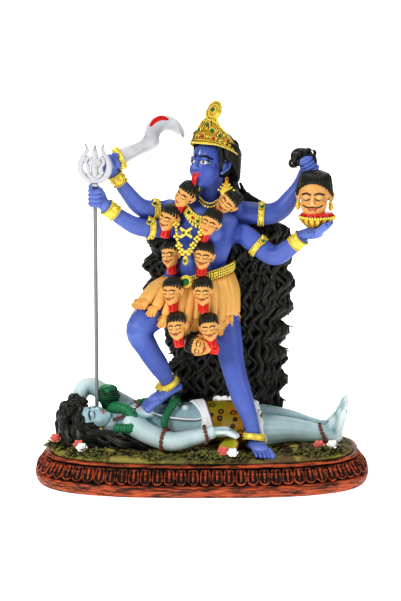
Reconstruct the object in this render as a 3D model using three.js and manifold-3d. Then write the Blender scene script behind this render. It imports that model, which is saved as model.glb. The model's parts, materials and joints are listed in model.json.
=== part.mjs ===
// A painted cast-resin figurine: a four-armed goddess standing over a reclining god
// on an oval lotus plinth. Millimetres, +Z up, the viewer looks along +Y,
// origin at the middle of the plinth's underside.
import * as THREE from 'three';
import { mergeVertices } from 'three/addons/utils/BufferGeometryUtils.js';
import Module from 'manifold-3d';

const wasm = await Module();
wasm.setup();

// Plinth
const PLINTH_LENGTH = 200;
const PLINTH_DEPTH = 100;
const PLAIN_BAND_HEIGHT = 7.5;
const PETAL_BAND_HEIGHT = 8.5;
const RIM_HEIGHT = 2.5;
const PETAL_PITCH = 7;
const PETAL_RELIEF = 1.6;
const PETAL_SLOPE_INSET = 7.8;
const FOOT_INSET = 2;
const RIM_ROLL = 1.3;
const OUTLINE_SQUARENESS = 2.8;
const PLINTH_HEIGHT = PLAIN_BAND_HEIGHT + PETAL_BAND_HEIGHT + RIM_HEIGHT;

// Figures. The reclining one fills the plinth's length but for a margin at each end.
const FIGURE_HEIGHT = 210;
const SLEEPER_LENGTH = PLINTH_LENGTH * 0.86;
const GROUND_THICKNESS = 2.2;
const GROUND_INSET = 9.2;
const TUFT_LENGTH = 12;
const TUFT_HEIGHT = 4.4;
const FLOWER_WIDTH = 5.2;

// Things held in the hands
const SHAFT_DIAMETER = 2.6;
const TRIDENT_HEAD_HEIGHT = 28;
const TRIDENT_HEAD_WIDTH = 17;
const BLADE_LENGTH = 40.4;
const BLADE_THICKNESS = 2.4;
const HILT_DIAMETER = 4.2;
const DISH_DIAMETER = 22;
const DISH_HEIGHT = 7.5;
const HELD_HEAD_HEIGHT = 24;

// The gap left all round a piece that is set into or stands on another
const FIT_GAP = 0.3;

const V = (x, y, z) => new THREE.Vector3(x, y, z);
const TAU = Math.PI * 2;

// A place on the standing figure, in hundredths of her height above the plinth's top
function kaliAt(x, y, z) {
  const unit = FIGURE_HEIGHT / 100;
  return V(x * unit, y * unit, PLINTH_HEIGHT + z * unit);
}

// A place on the reclining figure, in hundredths of his length, above the plinth's top
function shivaAt(x, y, z) {
  const unit = SLEEPER_LENGTH / 100;
  return V(x * unit, y * unit, PLINTH_HEIGHT + z * unit);
}

const kaliSize = (share) => (share * FIGURE_HEIGHT) / 100;
const shivaSize = (share) => (share * SLEEPER_LENGTH) / 100;

// A three.js geometry as a closed solid that can be joined and cut
function solid(geometry) {
  const bare = geometry.clone();
  bare.deleteAttribute('normal');
  bare.deleteAttribute('uv');
  const merged = mergeVertices(bare, 1e-4);
  const vertProperties = Float32Array.from(merged.attributes.position.array);
  const triVerts = Uint32Array.from(merged.index.array);
  const made = new wasm.Manifold(new wasm.Mesh({ numProp: 3, vertProperties, triVerts }));
  if (made.volume() > 0) return made;
  for (let i = 0; i < triVerts.length; i += 3) {
    [triVerts[i], triVerts[i + 1]] = [triVerts[i + 1], triVerts[i]];
  }
  return new wasm.Manifold(new wasm.Mesh({ numProp: 3, vertProperties, triVerts }));
}

function join(solids) {
  return solids.flat(3).reduce((whole, next) => whole.add(next));
}

// Cuts the piece that a figure stands on out of it, with the fit gap above, before and
// behind that piece
function standOn(piece, lower) {
  const shifts = [[0, 0], [0, FIT_GAP], [-FIT_GAP, 0], [FIT_GAP, 0]];
  return shifts.reduce((rest, [y, z]) => rest.subtract(lower.translate([0, y, z])), piece);
}

// The value at a share of the way along a list, straight between its entries
function along(list, share) {
  const place = share * (list.length - 1);
  const low = Math.min(Math.floor(place), list.length - 2);
  return THREE.MathUtils.lerp(list[low], list[low + 1], place - low);
}

// Moves each corner of a ball: place(turn, share) gives its new place,
// turn runs round the ball and share from pole to pole
function reshapedBall(sides, rings, place) {
  const ball = new THREE.SphereGeometry(1, sides, rings);
  const { position, uv } = ball.attributes;
  for (let i = 0; i < position.count; i += 1) {
    const share = 1 - uv.getY(i);
    const pole = share < 1e-6 || share > 1 - 1e-6;
    const turn = pole ? 0 : (Math.round(uv.getX(i) * sides) % sides) / sides;
    position.setXYZ(i, ...place(turn * TAU, share).toArray());
  }
  return solid(ball);
}

// A limb: a tube through the points with a radius at each, blunt at both ends.
// flat squeezes it across the side direction, ripple adds relief round it.
function limb(points, radii, options = {}) {
  const { sides = 7, rings = 7, flat = 1, side = V(0, 1, 0), blunt = 0.55, ripple } = options;
  const path = new THREE.CatmullRomCurve3(points);
  return reshapedBall(sides, rings, (turn, share) => {
    const ring = Math.round(share * rings);
    const s = THREE.MathUtils.clamp((ring - 1) / (rings - 2), 0, 1);
    const centre = path.getPoint(s);
    const tangent = path.getTangent(s);
    const deep = side.clone().addScaledVector(tangent, -side.dot(tangent)).normalize();
    const wide = new THREE.Vector3().crossVectors(tangent, deep);
    const radius = along(radii, s);
    if (ring === 0) return centre.addScaledVector(tangent, -radius * blunt);
    if (ring === rings) return centre.addScaledVector(tangent, radius * blunt);
    const swell = ripple ? ripple(turn, s) : 1;
    centre.addScaledVector(wide, Math.cos(turn) * radius * swell);
    return centre.addScaledVector(deep, Math.sin(turn) * radius * flat * swell);
  });
}

// An ellipsoid set in a frame of three directions
function ellipsoid(centre, radii, frame = [V(1, 0, 0), V(0, 1, 0), V(0, 0, 1)], detail = [8, 5]) {
  return reshapedBall(detail[0], detail[1], (turn, share) => {
    const reach = Math.sin(share * Math.PI);
    return centre.clone()
      .addScaledVector(frame[0], radii[0] * reach * Math.cos(turn))
      .addScaledVector(frame[1], radii[1] * reach * Math.sin(turn))
      .addScaledVector(frame[2], radii[2] * Math.cos(share * Math.PI));
  });
}

// Directions for a head or hand: to its side, forward and up,
// turned about the vertical, nodded back and then leaned sideways
function frameOf(turnDegrees, nodDegrees, leanDegrees) {
  const euler = new THREE.Euler(
    THREE.MathUtils.degToRad(-nodDegrees),
    THREE.MathUtils.degToRad(leanDegrees),
    THREE.MathUtils.degToRad(turnDegrees),
    'ZYX',
  );
  return [V(1, 0, 0), V(0, -1, 0), V(0, 0, 1)].map((axis) => axis.applyEuler(euler));
}

// A place given to the side, forward and up of an origin
function placed(origin, frame, side, forward, up) {
  return origin.clone()
    .addScaledVector(frame[0], side)
    .addScaledVector(frame[1], forward)
    .addScaledVector(frame[2], up);
}

// A ring worn round a limb: a flat band about an axis, with the limb through it
function band(centre, axis, radius, width, thickness, sides = 5) {
  const half = axis.clone().normalize().multiplyScalar(width / 2);
  const ends = [centre.clone().sub(half), centre.clone().add(half)];
  const outer = radius + thickness;
  return limb(ends, [outer, outer], { sides, rings: 3, blunt: 0.05 });
}

// A bead chain or cord seen as one rounded strand
function strand(points, radius, rings = 6, sides = 3) {
  return limb(points, points.map(() => radius), { sides, rings });
}

// The plinth's outline, a squared oval, as a curve with even spacing
class PlinthOutline extends THREE.Curve {
  getPoint(share) {
    const power = 2 / OUTLINE_SQUARENESS;
    const c = Math.cos(share * TAU);
    const s = Math.sin(share * TAU);
    return V(
      (PLINTH_LENGTH / 2) * Math.sign(c) * Math.abs(c) ** power,
      (PLINTH_DEPTH / 2) * Math.sign(s) * Math.abs(s) ** power,
      0,
    );
  }
}

const outline = new PlinthOutline();
outline.arcLengthDivisions = 3000;

// A place on the outline moved inwards by an inset and up to a height
function outlinePlace(share, inset, height) {
  const place = outline.getPointAt(share);
  const power = OUTLINE_SQUARENESS - 1;
  const nearX = Math.abs(place.x) / (PLINTH_LENGTH / 2);
  const nearY = Math.abs(place.y) / (PLINTH_DEPTH / 2);
  const inwards = V(
    (-Math.sign(place.x) * nearX ** power) / PLINTH_LENGTH,
    (-Math.sign(place.y) * nearY ** power) / PLINTH_DEPTH,
    0,
  ).normalize();
  place.addScaledVector(inwards, inset);
  place.z = height;
  return place;
}

function makePlinth() {
  const girth = outline.getLength();
  const petals = Math.round(girth / PETAL_PITCH);
  const petalTop = PLAIN_BAND_HEIGHT + PETAL_BAND_HEIGHT;
  const rows = [
    { inset: FOOT_INSET, height: 0 },
    { inset: 0, height: PLAIN_BAND_HEIGHT * 0.8 },
    { inset: 0.2, height: PLAIN_BAND_HEIGHT + PETAL_BAND_HEIGHT * 0.16, relief: 1 },
    { inset: PETAL_SLOPE_INSET, height: petalTop },
    { inset: PETAL_SLOPE_INSET - RIM_ROLL, height: petalTop + RIM_HEIGHT * 0.45 },
    { inset: PETAL_SLOPE_INSET, height: PLINTH_HEIGHT },
  ];
  return reshapedBall(petals * 2, rows.length + 1, (turn, share) => {
    const ring = Math.round(share * (rows.length + 1));
    if (ring === 0) return V(0, 0, 0);
    if (ring > rows.length) return V(0, 0, PLINTH_HEIGHT);
    const { inset, height, relief = 0 } = rows[ring - 1];
    const corner = Math.round((turn / TAU) * petals * 2);
    const notch = corner % 2 === 1 ? PETAL_RELIEF * relief : 0;
    return outlinePlace(corner / (petals * 2), inset + notch, height);
  });
}

// A head with nose, jaw and a cap of hair, shaped from a ball. Half sizes are to the
// side, forward and up. A neck stump, where it has one, hangs below the chin.
function carvedHead(centre, frame, half, options = {}) {
  const { detail = [8, 7], hairLine = 0.42, hairSwell = 0.1, neck = 0 } = options;
  const rings = detail[1];
  return reshapedBall(detail[0], rings, (turn, share) => {
    const ring = Math.round(share * rings);
    const belowChin = neck > 0 && ring >= rings - 1;
    const level = neck > 0 ? Math.min(1, (ring / (rings - 1)) * 0.93) : share;
    const up = Math.cos(level * Math.PI);
    const reach = ring === rings ? 0 : Math.sin(level * Math.PI);
    const side = Math.cos(turn) * (belowChin && ring < rings ? 0.42 : reach);
    const forward = Math.sin(turn) * (belowChin && ring < rings ? 0.42 : reach);
    const hair = up > hairLine || forward < -0.1 ? 1 + hairSwell : 1;
    const jaw = up < 0 ? 1 + up * 0.3 : 1;
    const nose = Math.abs(side) < 0.2 && forward > 0.7 && Math.abs(up + 0.15) < 0.25 ? 0.17 : 0;
    const drop = belowChin ? neck : 0;
    return placed(
      centre,
      frame,
      ring === rings ? 0 : half[0] * side * hair * jaw,
      ring === rings ? 0 : half[1] * (forward * hair + nose),
      half[2] * (up * hair - drop),
    );
  });
}

// A fist closed round a bar, with four finger ridges. The frame gives the bar's side,
// the way the knuckles face, and the bar's own direction.
function fist(centre, frame, barRadius, unit) {
  const rings = 7;
  return reshapedBall(5, rings, (turn, share) => {
    const ring = Math.round(share * rings);
    const pole = ring === 0 || ring === rings;
    const heel = Math.sin(turn) < 0 ? 1.35 : 1;
    const reach = pole ? 0 : (barRadius + unit * 2.1) * (ring % 2 === 0 ? 0.82 : 1);
    const [across, facing] = [Math.cos(turn) * reach, Math.sin(turn) * reach * heel];
    return placed(centre, frame, across, facing, (share - 0.5) * unit * 8);
  });
}

// An open hand from the wrist to the fingertips
function openHand(wrist, frame, unit) {
  const points = [0, 5, 10, 15].map((forward) => {
    return placed(wrist, frame, 0, unit * forward, unit * forward * 0.06);
  });
  return limb(points, [2.6, 3.9, 4, 3].map((r) => r * unit), {
    sides: 6, rings: 5, flat: 0.45, side: frame[2],
  });
}

// A foot from the heel to the toes, flattened along its upward side
function foot(points, radii, up) {
  return limb(points, radii, {
    sides: 7, rings: 5, flat: 0.62, side: up,
  });
}

const pointsOf = (at, rows) => rows.map((row) => at(...row));
const radiiOf = (size, rows) => rows.map((row) => size(row));

const BODY_TURN = -18;
const bodyFrame = frameOf(BODY_TURN, 0, 0);
const HEAD_CENTRE = kaliAt(3.1, -1.4, 81.9);
const headFrame = frameOf(-40, 6, 0);
const onHead = (side, forward, up) => {
  return placed(HEAD_CENTRE, headFrame, kaliSize(side), kaliSize(forward), kaliSize(up));
};

function kaliTorso() {
  const spine = pointsOf(kaliAt, [
    [-2.9, 0, 40], [-2.6, 0, 45], [-1.5, 0, 49.5], [-1, -0.5, 54.3], [-0.4, -1, 59.5],
    [0.3, -1, 64.8], [1.2, -0.5, 68.6], [1.9, -0.5, 71.6],
  ]);
  const widths = radiiOf(kaliSize, [6.6, 9, 9.1, 8.6, 9.3, 10.2, 9.6, 5]);
  const trunk = limb(spine, widths, { sides: 8, rings: 9, flat: 0.62, side: bodyFrame[1], blunt: 0.2 });
  const throat = pointsOf(kaliAt, [[1.6, -0.4, 69], [2.4, -0.6, 73], [3, -0.8, 78]]);
  const neck = limb(throat, radiiOf(kaliSize, [4, 3.1, 3.2]), { rings: 4 });
  const chest = kaliAt(0, -1, 62.6);
  const breasts = [-1, 1].map((side) => {
    const centre = placed(chest, bodyFrame, kaliSize(side * 4.7), kaliSize(4.1), 0);
    return ellipsoid(centre, [kaliSize(4.1), kaliSize(3.7), kaliSize(4)], bodyFrame, [7, 5]);
  });
  return [trunk, neck, ...breasts];
}

function kaliHead() {
  const skull = carvedHead(onHead(0, 0.9, -0.3), headFrame, [4.6, 6.3, 6.9].map(kaliSize), { hairSwell: 0 });
  const ears = [-1, 1].map((side) => {
    return ellipsoid(onHead(side * 5.4, -0.6, -2.4), [1.1, 1.9, 3].map(kaliSize), headFrame, [6, 4]);
  });
  const earrings = [-1, 1].map((side) => {
    return limb([onHead(side * 5.6, 0.4, -4.6), onHead(side * 5.7, 0.9, -8.2)], radiiOf(kaliSize, [0.8, 2]), {
      sides: 6, rings: 3, flat: 0.5, side: headFrame[1],
    });
  });
  const tongueLine = [onHead(0, 6, -3.2), onHead(0, 7.9, -4.2), onHead(0.1, 8, -7)];
  const tongue = limb(tongueLine, radiiOf(kaliSize, [1.1, 1.1, 0.9]), {
    sides: 5, rings: 4, flat: 0.6, side: headFrame[1],
  });
  return [skull, ...ears, ...earrings, tongue];
}

// How far round from its front the crown reaches, in degrees, and how high it stands
// above its base line there, from the crest to the end behind the ear
const CROWN_REACH = 135;
const CROWN_HEIGHTS = [12.6, 12, 5.8, 5.2, 4.6, 3.8, 3, 2.1, 1.3];
const CREST_SPREAD = 1.3;

// A tiara that leans back as it rises and dips behind the ears
function crown() {
  const columns = 14;
  const wall = 0.7;
  return reshapedBall(columns, 6, (turn, share) => {
    const ring = Math.round(share * 6);
    if (ring === 0) return onHead(0, -1, 2);
    if (ring === 6) return onHead(0, -1, 6);
    const column = Math.round((turn / TAU) * columns);
    const degrees = THREE.MathUtils.lerp(-CROWN_REACH, CROWN_REACH, column / (columns - 1));
    const base = 5.5 - 4 * Math.max(0, (Math.abs(degrees) - 40) / (CROWN_REACH - 40)) ** 1.3;
    const height = along(CROWN_HEIGHTS, Math.abs(degrees) / CROWN_REACH);
    const level = [0, 0, 0.5, 1, 1, 0.1][ring];
    const radius = 6.6 - 0.36 * height * level - (ring > 3 ? wall : 0);
    const turned = THREE.MathUtils.degToRad(degrees);
    const spread = CREST_SPREAD * Math.sign(degrees) * level * (height / CROWN_HEIGHTS[0]) ** 2;
    return onHead(Math.sin(turned) * radius + spread, Math.cos(turned) * radius - 0.2, base + height * level);
  });
}

// The fall of hair behind her: height, middle, half width, distance behind her, half depth
const HAIR_FALL = [
  [84, 6.8, 4, 3.5, 3], [77, 6.8, 4.8, 4.8, 3.4], [72, 5.4, 8.6, 5.6, 3.8], [67, 5, 15.5, 6.6, 4.2],
  [61, 5, 20, 7.6, 4.8], [52, 4.6, 20.6, 8.6, 5.2], [43, 5.2, 21.4, 9, 5.6], [36, 6.2, 19.4, 9.6, 5.8],
  [28, 7.2, 17.6, 10.2, 5.6], [20, 8, 17, 10.8, 5.4], [10, 8.2, 16.4, 11.2, 5], [0.4, 7.6, 16, 11.2, 5],
];
const HAIR_LOCKS = 11;

function hair() {
  const crownOfHair = ellipsoid(onHead(0, -1.6, 2), [6.2, 7, 6.9].map(kaliSize), headFrame, [7, 5]);
  const rings = 8;
  const fall = reshapedBall(HAIR_LOCKS * 2, rings, (turn, share) => {
    const ring = THREE.MathUtils.clamp((share * rings - 1) / (rings - 2), 0, 1);
    const [z, middle, halfWidth, behind, halfDepth] = [0, 1, 2, 3, 4].map((item) => {
      return along(HAIR_FALL.map((row) => row[item]), ring);
    });
    if (share === 0 || share === 1) return kaliAt(middle, behind, z);
    const ridge = Math.cos(HAIR_LOCKS * turn);
    const swept = turn + 0.12 * Math.sin(z * 0.25);
    const edgeWave = Math.sin(z * 0.85 + (Math.cos(turn) > 0 ? 0 : 2));
    const frayed = halfWidth + edgeWave * Math.min(1.2, halfWidth * 0.06);
    return kaliAt(
      middle + Math.cos(swept) * frayed * (1 + 0.03 * ridge),
      behind + Math.sin(swept) * halfDepth * (1 + 0.17 * ridge),
      z,
    );
  });
  const curls = [47, 22].map((z, i) => {
    const share = (84 - z) / 84;
    const row = HAIR_FALL.reduce((near, next) => {
      return Math.abs(next[0] - z) < Math.abs(near[0] - z) ? next : near;
    });
    const edge = row[1] + row[2];
    const size = 1.9 - share * 0.5;
    const line = [
      [edge - 4, row[3], z + 5],
      [edge - 0.5, row[3] - 0.8, z + 0.5],
      [edge + 1.6, row[3] - (i % 2), z - 3],
    ];
    return limb(pointsOf(kaliAt, line), radiiOf(kaliSize, [1.6, size, 0.6]), { sides: 4, rings: 4 });
  });
  return [crownOfHair, fall, ...curls];
}

// Severed forearms hanging side by side from the belt, with the hands at their lower
// ends, as one scalloped skirt. It is lifted in front over the raised thigh.
const SKIRT_ARMS = 13;

function skirt() {
  const levels = [
    { share: 0, swell: 1 }, { share: 0.4, swell: 1.03 }, { share: 1, swell: 0.96 },
  ];
  const arms = reshapedBall(SKIRT_ARMS * 2, levels.length + 1, (turn, share) => {
    const ring = Math.round(share * (levels.length + 1));
    if (ring === 0) return kaliAt(-1.6, -0.4, 50);
    if (ring > levels.length) return kaliAt(-3, -2.6, 42);
    const [c, s] = [Math.cos(turn), -Math.sin(turn)];
    const level = levels[ring - 1];
    const column = Math.round((turn / TAU) * SKIRT_ARMS * 2);
    const valley = column % 2 === 0;
    const lifted = Math.max(0, -c * 0.75 - s * 0.65) ** 1.5;
    const wide = THREE.MathUtils.lerp(10, 14.4 + lifted * 1.4, level.share ** 0.6) * level.swell;
    const deep = THREE.MathUtils.lerp(6.6, 9.4 + lifted * 1.8, level.share ** 0.6) * level.swell;
    const hem = 36 + lifted * 5 - (Math.floor(column / 2) % 3) * 0.9 + (valley ? 2.4 : 0);
    const inwards = valley ? 0.9 : 1;
    return kaliAt(
      THREE.MathUtils.lerp(-1.6, -3.2, level.share) + c * wide * inwards,
      THREE.MathUtils.lerp(-0.4, -3, level.share) + s * deep * inwards,
      THREE.MathUtils.lerp(49.6 + c * 1.6, hem, level.share),
    );
  });
  const beltLine = pointsOf(kaliAt, [[-1.65, -0.4, 48.9], [-1.6, -0.4, 51.4]]);
  const belt = limb(beltLine, radiiOf(kaliSize, [10.3, 10]), {
    sides: 8, rings: 3, flat: 0.66, side: bodyFrame[1], blunt: 0.05,
  });
  const buckle = ellipsoid(kaliAt(-4.4, -7.2, 49.8), [1.8, 0.9, 1.8].map(kaliSize), bodyFrame, [7, 4]);
  return [arms, belt, buckle];
}

// The garland: two strands of five severed heads from the shoulders down, joined by one
// that lies across the bottom. Each row is a place, how the head leans and how it turns.
const GARLAND = [
  [-4.6, -6.2, 73.4, 28, -35], [-9, -5.4, 66.8, 14, -38], [-8.6, -4.2, 56.4, -8, -30],
  [-8.2, -10, 47.1, -4, -25], [-6.9, -11, 37.7, -9, -15], [-0.9, -10.4, 32, -78, 0],
  [2.1, -11, 37.2, -8, -4], [0.3, -10, 47, -2, -8], [0.5, -8.6, 56.7, 7, -12],
  [2.3, -7.9, 65.9, 22, -14], [7.2, -5.7, 71.3, 46, -20],
];

function garland() {
  return GARLAND.map(([x, y, z, lean, turned]) => {
    const frame = frameOf(turned, 0, lean);
    const centre = kaliAt(x, y, z);
    return carvedHead(centre, frame, [2.75, 2.7, 3.5].map(kaliSize), { detail: [6, 5], neck: 0.35 });
  });
}

const RAISED_FIST = kaliAt(-25.4, -5.7, 82.3);
const SHAFT_FIST = kaliAt(-29.4, -9.5, 73.4);
const SWORD_DIRECTION = V(0.905, 0, 0.425);
const SHAFT_FOOT = shivaAt(-36.9, 6.2, 1.2);
const SHAFT_DIRECTION = SHAFT_FIST.clone().sub(SHAFT_FOOT).normalize();
const DISH_CENTRE = kaliAt(31.3, -8.1, 67.6);
const TOPKNOT_GRIP = kaliAt(29.3, -4.5, 81.4);

// Directions for a fist round a bar, with the knuckles facing a given way
function gripFrame(bar, facing) {
  const side = new THREE.Vector3().crossVectors(facing, bar).normalize();
  return [side, new THREE.Vector3().crossVectors(bar, side).normalize(), bar];
}

// Her four arms from the shoulder to the wrist, each point followed by its radius
const ARMS = {
  swordArm: [[-4.8, 0.5, 67.4, 2.9], [-10.5, -0.5, 68.3, 2.7], [-16.7, -2.4, 69.3, 2.6],
    [-20.8, -3.8, 73.9, 2.1], [-23.3, -4.8, 77.7, 1.8], [-24.6, -5.1, 80, 1.7]],
  tridentArm: [[-4.8, -1.4, 62.9, 3.1], [-11.4, -2.8, 63.5, 2.7], [-17.2, -4.8, 64.2, 2.6],
    [-21.3, -6.4, 66.4, 2.3], [-25.1, -7.8, 69.4, 2], [-27.3, -8.7, 71.4, 1.8]],
  topknotArm: [[5.7, 0.5, 67.1, 3.3], [11.4, 0.5, 67.6, 3.15], [18.1, 0.2, 67.1, 3.05],
    [21.9, 0.2, 68.3, 2.9], [24.6, 0, 71.4, 2.5], [27.3, -0.4, 75.4, 2.05], [29.2, -1.8, 80.4, 1.8]],
  dishArm: [[4.8, -0.5, 62, 3.1], [10.5, -1.6, 62.2, 3], [14.2, -2.6, 59.9, 2.95],
    [18.1, -3.8, 56.9, 2.85], [20.9, -4.9, 56.3, 2.8], [24, -6.3, 58.4, 2.5], [27.2, -7.8, 61.4, 2.1]],
};

function kaliArms() {
  const arms = Object.values(ARMS).map((rows) => {
    const points = rows.map(([x, y, z]) => kaliAt(x, y, z));
    return limb(points, rows.map((row) => kaliSize(row[3])), { sides: 6, rings: rows.length });
  });
  const unit = kaliSize(0.62);
  const underDish = frameOf(58, 0, -6);
  const palm = DISH_CENTRE.clone().add(V(kaliSize(-3.6), 0, kaliSize(-5.4)));
  return [
    ...arms,
    fist(RAISED_FIST, gripFrame(SWORD_DIRECTION, V(-0.6, -0.5, 0.6)), HILT_DIAMETER / 2, unit),
    fist(SHAFT_FIST, gripFrame(SHAFT_DIRECTION, V(-0.75, -0.66, 0)), SHAFT_DIAMETER / 2, unit),
    fist(TOPKNOT_GRIP, gripFrame(V(-0.3, -0.1, 0.95), V(0.5, -0.86, 0)), kaliSize(1.1), unit * 0.85),
    openHand(palm, underDish, unit),
  ];
}

// Bands of gold round the wrists, upper arms and ankles
function kaliBands() {
  const worn = [
    ['swordArm', 4, 1.9], ['tridentArm', 4, 2.1], ['dishArm', 6, 2.3],
    ['swordArm', 1.4, 2.8], ['tridentArm', 1.5, 2.75], ['topknotArm', 1.75, 3.15], ['dishArm', 2.4, 3],
  ];
  return worn.map(([arm, at, radius]) => {
    const rows = ARMS[arm];
    const path = new THREE.CatmullRomCurve3(rows.map(([x, y, z]) => kaliAt(x, y, z)));
    const share = at / (rows.length - 1);
    return band(path.getPoint(share), path.getTangent(share), kaliSize(radius), kaliSize(2.1), kaliSize(0.4));
  });
}

const STANDING_LEG = [[4.5, 0, 45.7, 4.9], [6.1, -1.6, 38.1, 4.5], [7.3, -3.6, 32, 4.1], [9, -5.8, 23.6, 3.3],
  [11.2, -7.6, 16.5, 3.1], [13.5, -9, 10.2, 2.3], [14.7, -9.7, 5, 2.05]];
const RAISED_LEG = [[-4.3, -0.5, 45.7, 5], [-11.4, -5.4, 41.2, 4.6], [-17.3, -10.6, 36.6, 3.9],
  [-15.2, -8.2, 30.4, 3.2], [-12.4, -4.8, 25, 2.95], [-10.6, -1.6, 21, 2.3], [-9.3, 0.4, 18.4, 2.05]];
const STANDING_FOOT = [
  [14.3, -8.6, 2.7, 2.1], [15.4, -11.4, 3.3, 2.4], [16.4, -14, 2.6, 2.9], [17, -16.2, 2.2, 2.6],
];
const RAISED_FOOT = [
  [-7.1, 1.4, 17.2, 2.1], [-10.2, -0.5, 16, 2.4], [-13.3, -2.4, 14.2, 2.8], [-15.6, -3.8, 13, 2.5],
];

function kaliLegs() {
  const legs = [STANDING_LEG, RAISED_LEG].map((rows) => {
    const points = rows.map(([x, y, z]) => kaliAt(x, y, z));
    return limb(points, rows.map((row) => kaliSize(row[3])), { sides: 6, rings: rows.length + 1 });
  });
  const feet = [[STANDING_FOOT, V(0, 0.1, 1)], [RAISED_FOOT, V(0.25, 0.2, 1)]].map(([rows, up]) => {
    const points = rows.map(([x, y, z]) => kaliAt(x, y, z));
    return foot(points, rows.map((row) => kaliSize(row[3])), up.normalize());
  });
  const anklets = [
    [kaliAt(14.5, -9.8, 5.8), V(0.15, -0.3, -0.9), 2.2],
    [kaliAt(-9.8, -0.4, 19.2), V(0.3, 0.45, -0.85), 2.25],
  ].map(([centre, axis, radius]) => band(centre, axis, kaliSize(radius), kaliSize(1.5), kaliSize(0.45)));
  return [...legs, ...feet, ...anklets];
}

// The collar and the two necklaces that lie on the chest
function necklaces() {
  const loops = [
    [[-0.8, -3.2, 71.6], [0.4, -5, 70.4], [2.8, -5.6, 69.9], [5.6, -4, 71.4]],
    [[-4.6, -4, 70], [-2.6, -7, 67.4], [0.4, -8, 66.2], [4, -7.4, 67.8]],
    [[-7.4, -5.4, 67.6], [-6.6, -8.6, 60.6], [-4.5, -8.8, 57.6], [-2, -9, 60.6], [0.6, -8.6, 65]],
  ];
  const chains = loops.map((rows, i) => strand(pointsOf(kaliAt, rows), kaliSize([0.6, 1.05, 0.65][i])));
  const pendant = ellipsoid(kaliAt(-4.6, -8.5, 56.3), [1, 0.8, 1.7].map(kaliSize), bodyFrame, [5, 3]);
  return [...chains, pendant];
}

// The reclining god: trunk, limbs and head, each point followed by its radius
const SLEEPER_TRUNK = [[-28, 1.6, 7.6, 6], [-21.5, 2, 7.6, 7.8], [-13, 2.3, 7.8, 7.6], [-4, 2.3, 8, 6.9],
  [4, 2, 8.2, 7.2], [12, 1.8, 8.2, 7.6], [18, 1.6, 7.8, 6.8]];
const SLEEPER_LEGS = [
  [
    [12, -3.2, 7, 6], [21, -3.4, 6.8, 5.7], [30, -1, 6.2, 4.5], [36, 0.2, 5.2, 3.9], [42, 0, 4.6, 3],
    [46.5, 0, 4, 2.9],
  ],
  [
    [12, 4.8, 7.8, 6], [21, 5.4, 8, 5.7], [30, 5.6, 7.4, 4.5], [36, 5.8, 5.8, 3.9], [42, 5.6, 5, 3],
    [46.5, 5.4, 4.2, 2.9],
  ],
];
const SLEEPER_ARMS = [
  [
    [-24, -4.4, 9.2, 4.2], [-18, -9, 6.6, 3.7], [-10.5, -13.4, 5.2, 3.4], [-3.5, -14.2, 6.7, 2.9],
    [3.5, -14, 8.6, 2.3],
  ],
  [
    [-23, 8, 9.9, 3.9], [-31.4, 9.3, 15, 3.4], [-40, 9.9, 19.4, 3], [-43.6, 7.6, 15, 2.7],
    [-45.3, 4.6, 11.3, 2.4],
  ],
];
const SLEEPER_HEAD = shivaAt(-38.1, 0, 9.3);
// His head lies back: its forward way is up and a little towards the viewer
const sleeperFrame = [V(-0.05, 0.86, 0.5), V(0.1, -0.5, 0.86), V(-1, 0, 0.1)].map((axis) => axis.normalize());

function sleeper() {
  const trunk = limb(
    SLEEPER_TRUNK.map(([x, y, z]) => shivaAt(x, y, z)),
    SLEEPER_TRUNK.map((row) => shivaSize(row[3])),
    { sides: 8, rings: 7, flat: 0.97, side: V(0, 0, 1), blunt: 0.3 },
  );
  const limbs = [...SLEEPER_LEGS, ...SLEEPER_ARMS].map((rows) => {
    const points = rows.map(([x, y, z]) => shivaAt(x, y, z));
    return limb(points, rows.map((row) => shivaSize(row[3])), { sides: 5, rings: rows.length + 1 });
  });
  const feet = [0, 5.4].map((y) => {
    const rows = [[47, y, 3, 2.4], [47.6, y, 7, 2.7], [48, y, 12, 2.9], [48.2, y, 15.4, 2.8]];
    const points = rows.map(([x, behind, z]) => shivaAt(x, behind, z));
    return foot(points, rows.map((row) => shivaSize(row[3])), V(-1, 0, 0.05));
  });
  const head = carvedHead(SLEEPER_HEAD, sleeperFrame, [5.1, 5.3, 6.6].map(shivaSize), { hairSwell: 0.06 });
  const throat = pointsOf(shivaAt, [[-33, 0.8, 8.4], [-27, 1.4, 8]]);
  const neck = limb(throat, radiiOf(shivaSize, [3.8, 4.4]), { rings: 4 });
  const hand = openHand(shivaAt(3, -14, 8.8), [V(0, -1, 0), V(1, 0, 0.1), V(0, 0, 1)], shivaSize(0.55));
  return [trunk, ...limbs, ...feet, head, neck, hand];
}

function sleeperHair() {
  const locks = [
    [[-43, 3, 11, 4.4], [-47.6, 1, 9, 5], [-47, -2.6, 5, 4.6], [-42, -5, 3, 3.4]],
    [
      [-42, -1, 10, 5], [-43.4, -4, 6, 4.6], [-35.5, -5.4, 3.6, 3.6], [-27, -8, 2.8, 2.8],
      [-17.4, -10.6, 1.8, 1.6],
    ],
  ];
  return locks.map((rows) => {
    const points = rows.map(([x, y, z]) => shivaAt(x, y, z));
    return limb(points, rows.map((row) => shivaSize(row[3])), {
      sides: 6, rings: 6, ripple: (turn, s) => 1 + 0.12 * Math.cos(3 * turn + s * 6),
    });
  });
}

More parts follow.
